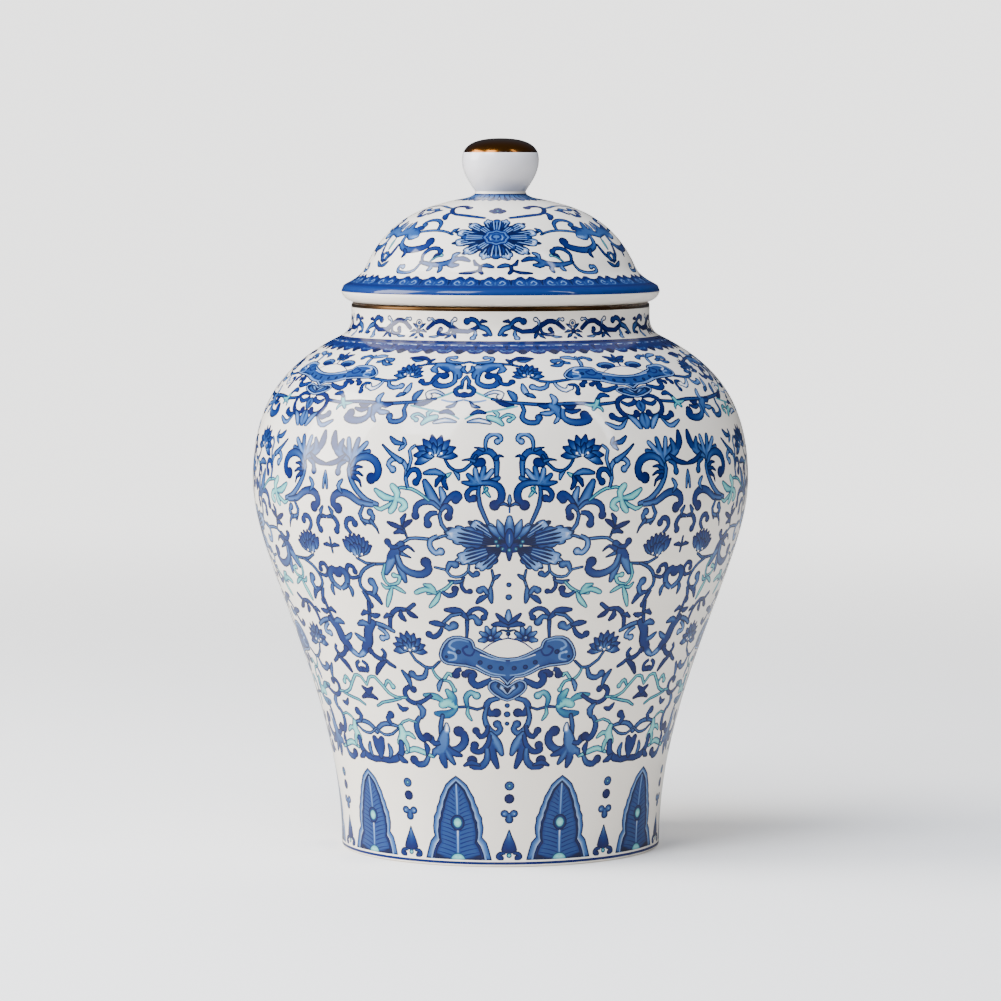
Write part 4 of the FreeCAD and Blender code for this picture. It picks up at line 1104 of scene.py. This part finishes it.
# the collar under the knob, half a period of 10 degrees
collarBand = {"low": 59.4, "half": 10, "axis": -2, "periods": 18}


def paintCollar(painter):
    top = painter.high - 0.3
    edge = [(-14, 61.2), (-10, 60.2), (-6, 61.2), (-4, 62.2), (0, 60.4), (4, 62.2), (6, 61.2), (10, 60.2),
            (14, 61.2), (14, top), (-14, top)]
    painter.field(edge, ((0, 60), 0.62, (0, top), 0.50), sharp=True, rim=0.4)
    painter.rows([("petal", "pale", 0.5, 0, top - 0.6, 0, top - 2.2, 0, 62.4),
                  ("petal", "deep", 0.5, 10, top - 0.6, 10, 64, 10, 61.6)])


# materials


def linearColour(code):
    # an sRGB hex colour as the linear values that Blender works in
    parts = [int(code[i:i + 2], 16) / 255 for i in (1, 3, 5)]
    return tuple(c / 12.92 if c <= 0.04045 else ((c + 0.055) / 1.055) ** 2.4 for c in parts) + (1.0,)


def addNode(tree, kind, settings=None, values=None, links=None):
    node = tree.nodes.new(kind)
    for name, value in (settings or {}).items():
        setattr(node, name, value)
    for name, value in (values or {}).items():
        node.inputs[name].default_value = value
    for name, (source, output) in (links or {}).items():
        tree.links.new(source.outputs[output], node.inputs[name])
    return node


def newMaterial(name):
    material = bpy.data.materials.new(name)
    material.use_nodes = True
    material.node_tree.nodes.clear()
    return material, material.node_tree


def fillRamp(node, stops):
    ramp = node.color_ramp
    while len(ramp.elements) < len(stops):
        ramp.elements.new(0.5)
    for element, (place, code) in zip(ramp.elements, stops):
        element.position = place
        element.color = linearColour(code)


glaze = {
    # from bare hard-paste porcelain, faintly warm under its clear glaze, to a full wash
    "cobalt": [(0.0, "#e8dfd0"), (0.08, "#e2dbd1"), (0.16, "#6584b0"), (0.32, "#34598c"), (0.50, "#18396c"),
               (0.68, "#0a2860"), (0.84, "#041e58"), (1.0, "#030f48")],
    "turquoise": [(0.0, "#9fd2cc"), (0.16, "#62ada9"), (0.34, "#33838e"), (0.75, "#0b4674")],
    "cobaltLine": "#010a2e",
    "turquoiseLine": "#042a50",
    "thinning": 0.85,                # how much paler the middle of a brushed shape is
    "lineWidth": 0.50,               # mm, the printed line round each shape
    "waves": 24.0,                   # mm, how far apart the glaze's faint swells are
}


def paintedPorcelain(name):
    # Porcelain with an underglaze cobalt print, dipped and fired: white body, sharp blue edges, glassy coat
    material, tree = newMaterial(name)
    told = addNode(tree, "ShaderNodeAttribute", {"attribute_name": "glaze"})
    parts = addNode(tree, "ShaderNodeSeparateColor", links={"Color": (told, "Color")})
    # the wash thins towards the middle of a shape, most where it is neither full nor pale
    across = addNode(tree, "ShaderNodeMapRange", values={"From Min": 0.14, "From Max": 0.80, "To Min": -0.30,
                                                         "To Max": 1.0}, links={"Value": (parts, "Green")})
    rest = addNode(tree, "ShaderNodeMath", {"operation": "SUBTRACT"}, {0: 1.0}, {1: (parts, "Red")})
    middling = addNode(tree, "ShaderNodeMath", {"operation": "MULTIPLY"},
                       links={0: (parts, "Red"), 1: (rest, "Value")})
    thinned = addNode(tree, "ShaderNodeMath", {"operation": "MULTIPLY"},
                      links={0: (middling, "Value"), 1: (across, "Result")})
    density = addNode(tree, "ShaderNodeMath", {"operation": "MULTIPLY_ADD"}, {1: -glaze["thinning"]},
                      {0: (thinned, "Value"), 2: (parts, "Red")})
    cobalt = addNode(tree, "ShaderNodeValToRGB", links={"Fac": (density, "Value")})
    fillRamp(cobalt, glaze["cobalt"])
    turquoise = addNode(tree, "ShaderNodeValToRGB", links={"Fac": (density, "Value")})
    fillRamp(turquoise, glaze["turquoise"])
    fill = addNode(tree, "ShaderNodeMix", {"data_type": "RGBA"},
                   links={"Factor": (parts, "Blue"), "A": (cobalt, "Color"), "B": (turquoise, "Color")})
    line = addNode(tree, "ShaderNodeMix", {"data_type": "RGBA"},
                   {"A": linearColour(glaze["cobaltLine"]), "B": linearColour(glaze["turquoiseLine"])},
                   {"Factor": (parts, "Blue")})
    edge = glaze["lineWidth"] / deepestPaint
    near = addNode(tree, "ShaderNodeMapRange", {"interpolation_type": "SMOOTHSTEP"},
                   {"From Min": edge * 0.6, "From Max": edge * 1.25, "To Min": 0.97, "To Max": 0.0},
                   {"Value": (parts, "Green")})
    outlined = addNode(tree, "ShaderNodeMath", {"operation": "MULTIPLY"},
                       links={0: (near, "Result"), 1: (told, "Alpha")})
    colour = addNode(tree, "ShaderNodeMix", {"data_type": "RGBA"},
                     links={"Factor": (outlined, "Value"), "A": (fill, "Result"), "B": (line, "Result")})
    where = addNode(tree, "ShaderNodeTexCoord")
    swell = addNode(tree, "ShaderNodeTexNoise", values={"Scale": 1000.0 / glaze["waves"], "Detail": 1.0},
                    links={"Vector": (where, "Object")})
    bump = addNode(tree, "ShaderNodeBump", values={"Strength": 0.35, "Distance": 0.00012},
                   links={"Height": (swell, "Fac")})
    shader = addNode(tree, "ShaderNodeBsdfPrincipled",
                     values={"Roughness": 0.42, "IOR": 1.5, "Specular IOR Level": 0.05, "Coat Weight": 0.62,
                             "Coat Roughness": 0.07, "Coat IOR": 1.5},
                     links={"Base Color": (colour, "Result"), "Coat Normal": (bump, "Normal")})
    addNode(tree, "ShaderNodeOutputMaterial", links={"Surface": (shader, "BSDF")})
    return material


def plainMaterial(name, colour, **values):
    material, tree = newMaterial(name)
    shader = addNode(tree, "ShaderNodeBsdfPrincipled", values={"Base Color": linearColour(colour), **values})
    addNode(tree, "ShaderNodeOutputMaterial", links={"Surface": (shader, "BSDF")})
    return material


def goldLustre(name, tint, roughness):
    # Liquid gold brushed on over the glaze and fired again: a thin mirror, its tints below darkened to
    # bronze-brown as painted shade
    return plainMaterial(name, tint, Metallic=1.0, Roughness=roughness)


paintedGlaze = paintedPorcelain("jar_porcelain_painted")
# The same porcelain without the print under clear glaze, its white greyed down evenly as painted shade
knobPorcelainShaded = plainMaterial("knob_porcelain_shaded", "#d6d3d4", Roughness=0.42, IOR=1.5,
                              **{"Specular IOR Level": 0.1, "Coat Weight": 1.0, "Coat Roughness": 0.06,
                                 "Coat IOR": 1.5})
# Unglazed porcelain, wiped clean before firing: a dull, slightly grey ring
footBiscuit = plainMaterial("foot_biscuit", "#cbbfae", Roughness=0.85, IOR=1.5)
# the knob's gold is darkened to brown as painted shade, standing for the dim room it mirrors
knobGoldDarkened = goldLustre("gold_lustre_knob_darkened", "#7d4d1d", 0.2)
mouthGoldInShade = goldLustre("gold_lustre_mouth_shaded", "#4a331b", 0.3)      # darkened to deep brown as painted shade from the lid's brim over it
print("materials made")


def paintBand(skin, band, painting, offset, chartAt, chartScale, high=None):
    painter = Painter(skin.outline, band["low"], high or band["high"], band["half"], offset)
    painting(painter)
    skin.addBand(painter.finish(chartAt, chartScale), band["axis"], band["periods"], band["half"])


jar = {
    "lineLow": 0.9, "lineHigh": 1.9,     # mm up, the dark line at the very foot
    "levelAt": 10.0, "alongThere": 10.03,    # mm, a height on the outside, and how far along its bands start
    "leastRadius": 58.0,                 # mm, the outside is all wider than this near the foot
    "glazeFrom": 0.3,                    # mm up, where the bare foot ring ends
    "footStep": 2.0,                     # mm, the ring where the finer skin begins
    "lipStep": 3.0,                      # mm, the ring inside the lip where it ends
    "discStep": 14.0,                    # mm, the innermost ring of the flat bottoms
    "chart": 0.0072,                     # how much of the OFBake map one mm takes
}
jarBands = [(footBand, paintFootBand, (0.51, 0.27)), (bellyBand, paintBelly, (0.006, 0.006)),
            (shoulderBand, paintShoulder, (0.51, 0.006)), (scallopBand, paintScallops, (0.68, 0.40)),
            (neckBand, paintNeck, (0.68, 0.27))]      # each with its place on the OFBake map


def makeJar():
    points = walkOutline("jar_body", (53.2, 4.0))
    outline = Outline([(0.0, points[0][1])] + points + [(0.0, points[-1][1])])
    skin = Skin(outline)
    outside = outline.stretchAt(outline.length * 0.3)
    offset = outline.alongAtHeight(outside, jar["levelAt"], jar["leastRadius"]) - jar["alongThere"]
    starts = [s["along"][0] for s in outline.stretches]
    rimInside = starts[-1]
    ringStart = starts[outside]
    skin.addRings(0.0, jar["discStep"], 0, coarseRing)
    skin.addPlain(jar["discStep"], ringStart, coarseRing)
    skin.addRings(ringStart, ringStart + jar["footStep"], coarseRing, fineRing, finish=1)
    skin.addPlain(ringStart + jar["footStep"], offset + jar["glazeFrom"], fineRing, finish=1)
    skin.addPlain(offset + jar["glazeFrom"], offset + jar["lineLow"], fineRing)
    skin.addPlain(offset + jar["lineLow"], offset + jar["lineHigh"], fineRing, (0.95, 1.0, 0.0, 0.0))
    skin.addPlain(offset + jar["lineHigh"], offset + footBand["low"], fineRing)
    for band, painting, chartAt in jarBands:
        paintBand(skin, band, painting, offset, chartAt, jar["chart"])
    skin.addPlain(offset + neckBand["high"], rimInside, fineRing)
    skin.addRings(rimInside, rimInside + jar["lipStep"], fineRing, coarseRing)
    skin.addPlain(rimInside + jar["lipStep"], outline.length - jar["discStep"], coarseRing)
    skin.addRings(outline.length - jar["discStep"], outline.length, coarseRing, 0)
    piece = skin.build("jar_body_painted")
    piece.data.materials.append(paintedGlaze)
    piece.data.materials.append(footBiscuit)
    return piece


lid = {
    "seat": 54.9,          # mm from the axis, where the brim meets the mouth and the bands are counted from
    "discStep": 10.0,      # mm, the innermost ring of the ceiling
    "brimStep": 1.5,       # mm, the ring under the brim where the finer skin begins
    "knobGap": 0.6,        # mm, bare glaze between the collar's painting and the knob
    "knobStep": 3.0,       # mm, the ring under the knob where the finer skin ends
    "chart": 0.0150,       # how much of the OFBake map one mm takes
}


def makeLid():
    points = walkOutline("lid", (0.0, 234.3))
    outline = Outline(points + [(0.0, points[-1][1])])
    skin = Skin(outline)
    starts = [s["along"][0] for s in outline.stretches]
    outside = outline.stretchAt(outline.length - 30.0)
    first = outline.stretches[outside]["spots"][0]
    offset = starts[outside] + lid["seat"] - float(first[0])
    top = starts[-1] - offset
    skin.addRings(0.0, lid["discStep"], 0, coarseRing)
    skin.addPlain(lid["discStep"], starts[outside] - lid["brimStep"], coarseRing)
    skin.addRings(starts[outside] - lid["brimStep"], starts[outside], coarseRing, fineRing)
    skin.addPlain(starts[outside], offset + rimBand["low"], fineRing)
    scale = lid["chart"]
    paintBand(skin, rimBand, paintRim, offset, (0.01, 0.80), scale)
    paintBand(skin, domeBand, paintDome, offset, (0.01, 0.01), scale)
    paintBand(skin, collarBand, paintCollar, offset, (0.20, 0.80), scale, high=top - lid["knobGap"])
    skin.addPlain(offset + top - lid["knobGap"], starts[-1], fineRing)
    skin.addRings(starts[-1], starts[-1] + lid["knobStep"], fineRing, coarseRing)
    skin.addRings(starts[-1] + lid["knobStep"], outline.length, coarseRing, 0)
    piece = skin.build("lid_painted")
    piece.data.materials.append(paintedGlaze)
    return piece


jarPiece = makeJar()
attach(jarPiece, "jar")
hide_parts("jar_body")
print("jar made")

lidPiece = makeLid()
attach(lidPiece, "lid")
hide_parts("lid")
print("lid made")

finished = {"knob": knobPorcelainShaded, "mouth_gilding": mouthGoldInShade, "knob_gilding": knobGoldDarkened}
for nodeName, finishMaterial in finished.items():
    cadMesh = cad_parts[nodeName].data
    if not cadMesh.materials:
        cadMesh.materials.append(finishMaterial)
    for number in range(len(cadMesh.materials)):
        cadMesh.materials[number] = finishMaterial
print("knob and gilding finished")


# camera, lights and floor

view = {
    "height": 0.2567, "distance": 1.7006,      # m
    "tilt": 4.35,                              # degrees down
    "lens": 166.3, "sensor": 36.0,             # mm
}
cameraData = bpy.data.cameras.new("studio_camera")
cameraData.lens = view["lens"]
cameraData.sensor_width = view["sensor"]
camera = bpy.data.objects.new("studio_camera", cameraData)
camera.location = (0.0, -view["distance"], view["height"])
camera.rotation_euler = (math.radians(90.0 - view["tilt"]), 0.0, 0.0)
bpy.context.scene.collection.objects.link(camera)
bpy.context.scene.camera = camera

# each soft box: degrees round from the front, degrees up, distance and sizes in m, watts, colour
softBoxes = {
    "left_soft_box": (-37.0, 43.0, 1.5, 0.62, 0.80, 27.0, "#eef4ff"),
    "left_side_box": (-86.0, 24.0, 1.5, 0.9, 1.2, 54.0, "#ffffff"),
    "right_strip_box": (54.0, 38.0, 1.5, 0.09, 1.2, 5.0, "#eef3ff"),
    "front_soft_box": (-40.0, 70.0, 1.6, 1.2, 0.7, 23.0, "#dbe8ff"),
    "back_soft_box": (172.0, 52.0, 1.7, 1.4, 0.8, 11.0, "#ffffff"),
}
aimHeight = 0.13     # m up the jar, where all of them point
unmirrored = ("front_soft_box", "back_soft_box")     # they lighten the jar without a streak in its glaze
for name, (around, up, distance, wide, tall, watts, tint) in softBoxes.items():
    lightData = bpy.data.lights.new(name, "AREA")
    lightData.shape = "RECTANGLE"
    lightData.size = wide
    lightData.size_y = tall
    lightData.energy = watts
    lightData.color = linearColour(tint)[:3]
    light = bpy.data.objects.new(name, lightData)
    turn, rise = math.radians(around), math.radians(up)
    toward = Vector((math.sin(turn) * math.cos(rise), -math.cos(turn) * math.cos(rise), math.sin(rise)))
    light.location = Vector((0.0, 0.0, aimHeight)) + toward * distance
    light.rotation_euler = toward.to_track_quat("Z", "Y").to_euler()
    light.visible_glossy = name not in unmirrored
    bpy.context.scene.collection.objects.link(light)

# the room is dim at eye level and brighter and cooler overhead, more so for what it lights than for what it
# reflects; what is seen behind the floor is plain and pale
room = {"eyeLevel": 0.06, "overhead": 0.48, "mirrored": 0.45, "backdrop": 2.9, "sky": "#e2ebff",
        "plain": "#f3f2f1"}
world = bpy.data.worlds.new("studio")
world.use_nodes = True
sky = world.node_tree
sky.nodes.clear()
heading = addNode(sky, "ShaderNodeTexCoord")
height = addNode(sky, "ShaderNodeSeparateXYZ", links={"Vector": (heading, "Generated")})
glow = addNode(sky, "ShaderNodeMapRange", values={"To Min": room["eyeLevel"], "To Max": room["overhead"]},
               links={"Value": (height, "Z")})
ray = addNode(sky, "ShaderNodeLightPath")
dimming = addNode(sky, "ShaderNodeMapRange", values={"To Min": 1.0, "To Max": room["mirrored"]},
                  links={"Value": (ray, "Is Glossy Ray")})
strength = addNode(sky, "ShaderNodeMath", {"operation": "MULTIPLY"},
                   links={0: (glow, "Result"), 1: (dimming, "Result")})
lit = addNode(sky, "ShaderNodeBackground", values={"Color": linearColour(room["sky"])},
                links={"Strength": (strength, "Value")})
behind = addNode(sky, "ShaderNodeBackground", values={"Color": linearColour(room["plain"]),
                                                      "Strength": room["backdrop"]})
seen = addNode(sky, "ShaderNodeMixShader", links={0: (ray, "Is Camera Ray"), 1: (lit, "Background"),
                                                  2: (behind, "Background")})
addNode(sky, "ShaderNodeOutputWorld", links={"Surface": (seen, "Shader")})
bpy.context.scene.world = world

floorMesh = bpy.data.meshes.new("floor")
floorPlan = {"reach": 30.0, "fadeFrom": 0.3, "fadeTo": 1.5, "mirrored": 0.55}     # m, and its dimming
reach = floorPlan["reach"]
floorMesh.from_pydata([(-reach, -reach, 0), (reach, -reach, 0), (reach, reach, 0), (-reach, reach, 0)], [],
                      [(0, 1, 2, 3)])
floor = bpy.data.objects.new("floor", floorMesh)
bpy.context.scene.collection.objects.link(floor)
floorMaterial, floorTree = newMaterial("studio_floor")
floorShader = addNode(floorTree, "ShaderNodeBsdfPrincipled",
                      values={"Base Color": linearColour("#faf6ef"), "Roughness": 0.8,
                              "Specular IOR Level": 0.0})
# matt painted board that passes into the plain backdrop with distance, dimmed where the glaze mirrors it
floorRay = addNode(floorTree, "ShaderNodeLightPath")
where = addNode(floorTree, "ShaderNodeTexCoord")
distance = addNode(floorTree, "ShaderNodeVectorMath", {"operation": "LENGTH"}, links={0: (where, "Object")})
fade = addNode(floorTree, "ShaderNodeMapRange", {"interpolation_type": "SMOOTHSTEP"},
               {"From Min": floorPlan["fadeFrom"], "From Max": floorPlan["fadeTo"]},
               {"Value": (distance, "Value")})
seenFade = addNode(floorTree, "ShaderNodeMath", {"operation": "MULTIPLY"},
                   links={0: (fade, "Result"), 1: (floorRay, "Is Camera Ray")})
plain = addNode(floorTree, "ShaderNodeEmission", values={"Color": linearColour(room["plain"]),
                                                         "Strength": room["backdrop"]})
faded = addNode(floorTree, "ShaderNodeMixShader", links={0: (seenFade, "Value"), 1: (floorShader, "BSDF"),
                                                         2: (plain, "Emission")})
dark = addNode(floorTree, "ShaderNodeEmission", values={"Strength": 0.0})
dimmed = addNode(floorTree, "ShaderNodeMath", {"operation": "MULTIPLY"}, {1: floorPlan["mirrored"]},
                 {0: (floorRay, "Is Glossy Ray")})
mixed = {0: (dimmed, "Value"), 1: (faded, "Shader"), 2: (dark, "Emission")}
floorMix = addNode(floorTree, "ShaderNodeMixShader", links=mixed)
addNode(floorTree, "ShaderNodeOutputMaterial", links={"Surface": (floorMix, "Shader")})
floorMesh.materials.append(floorMaterial)
print("camera, lights and floor set")
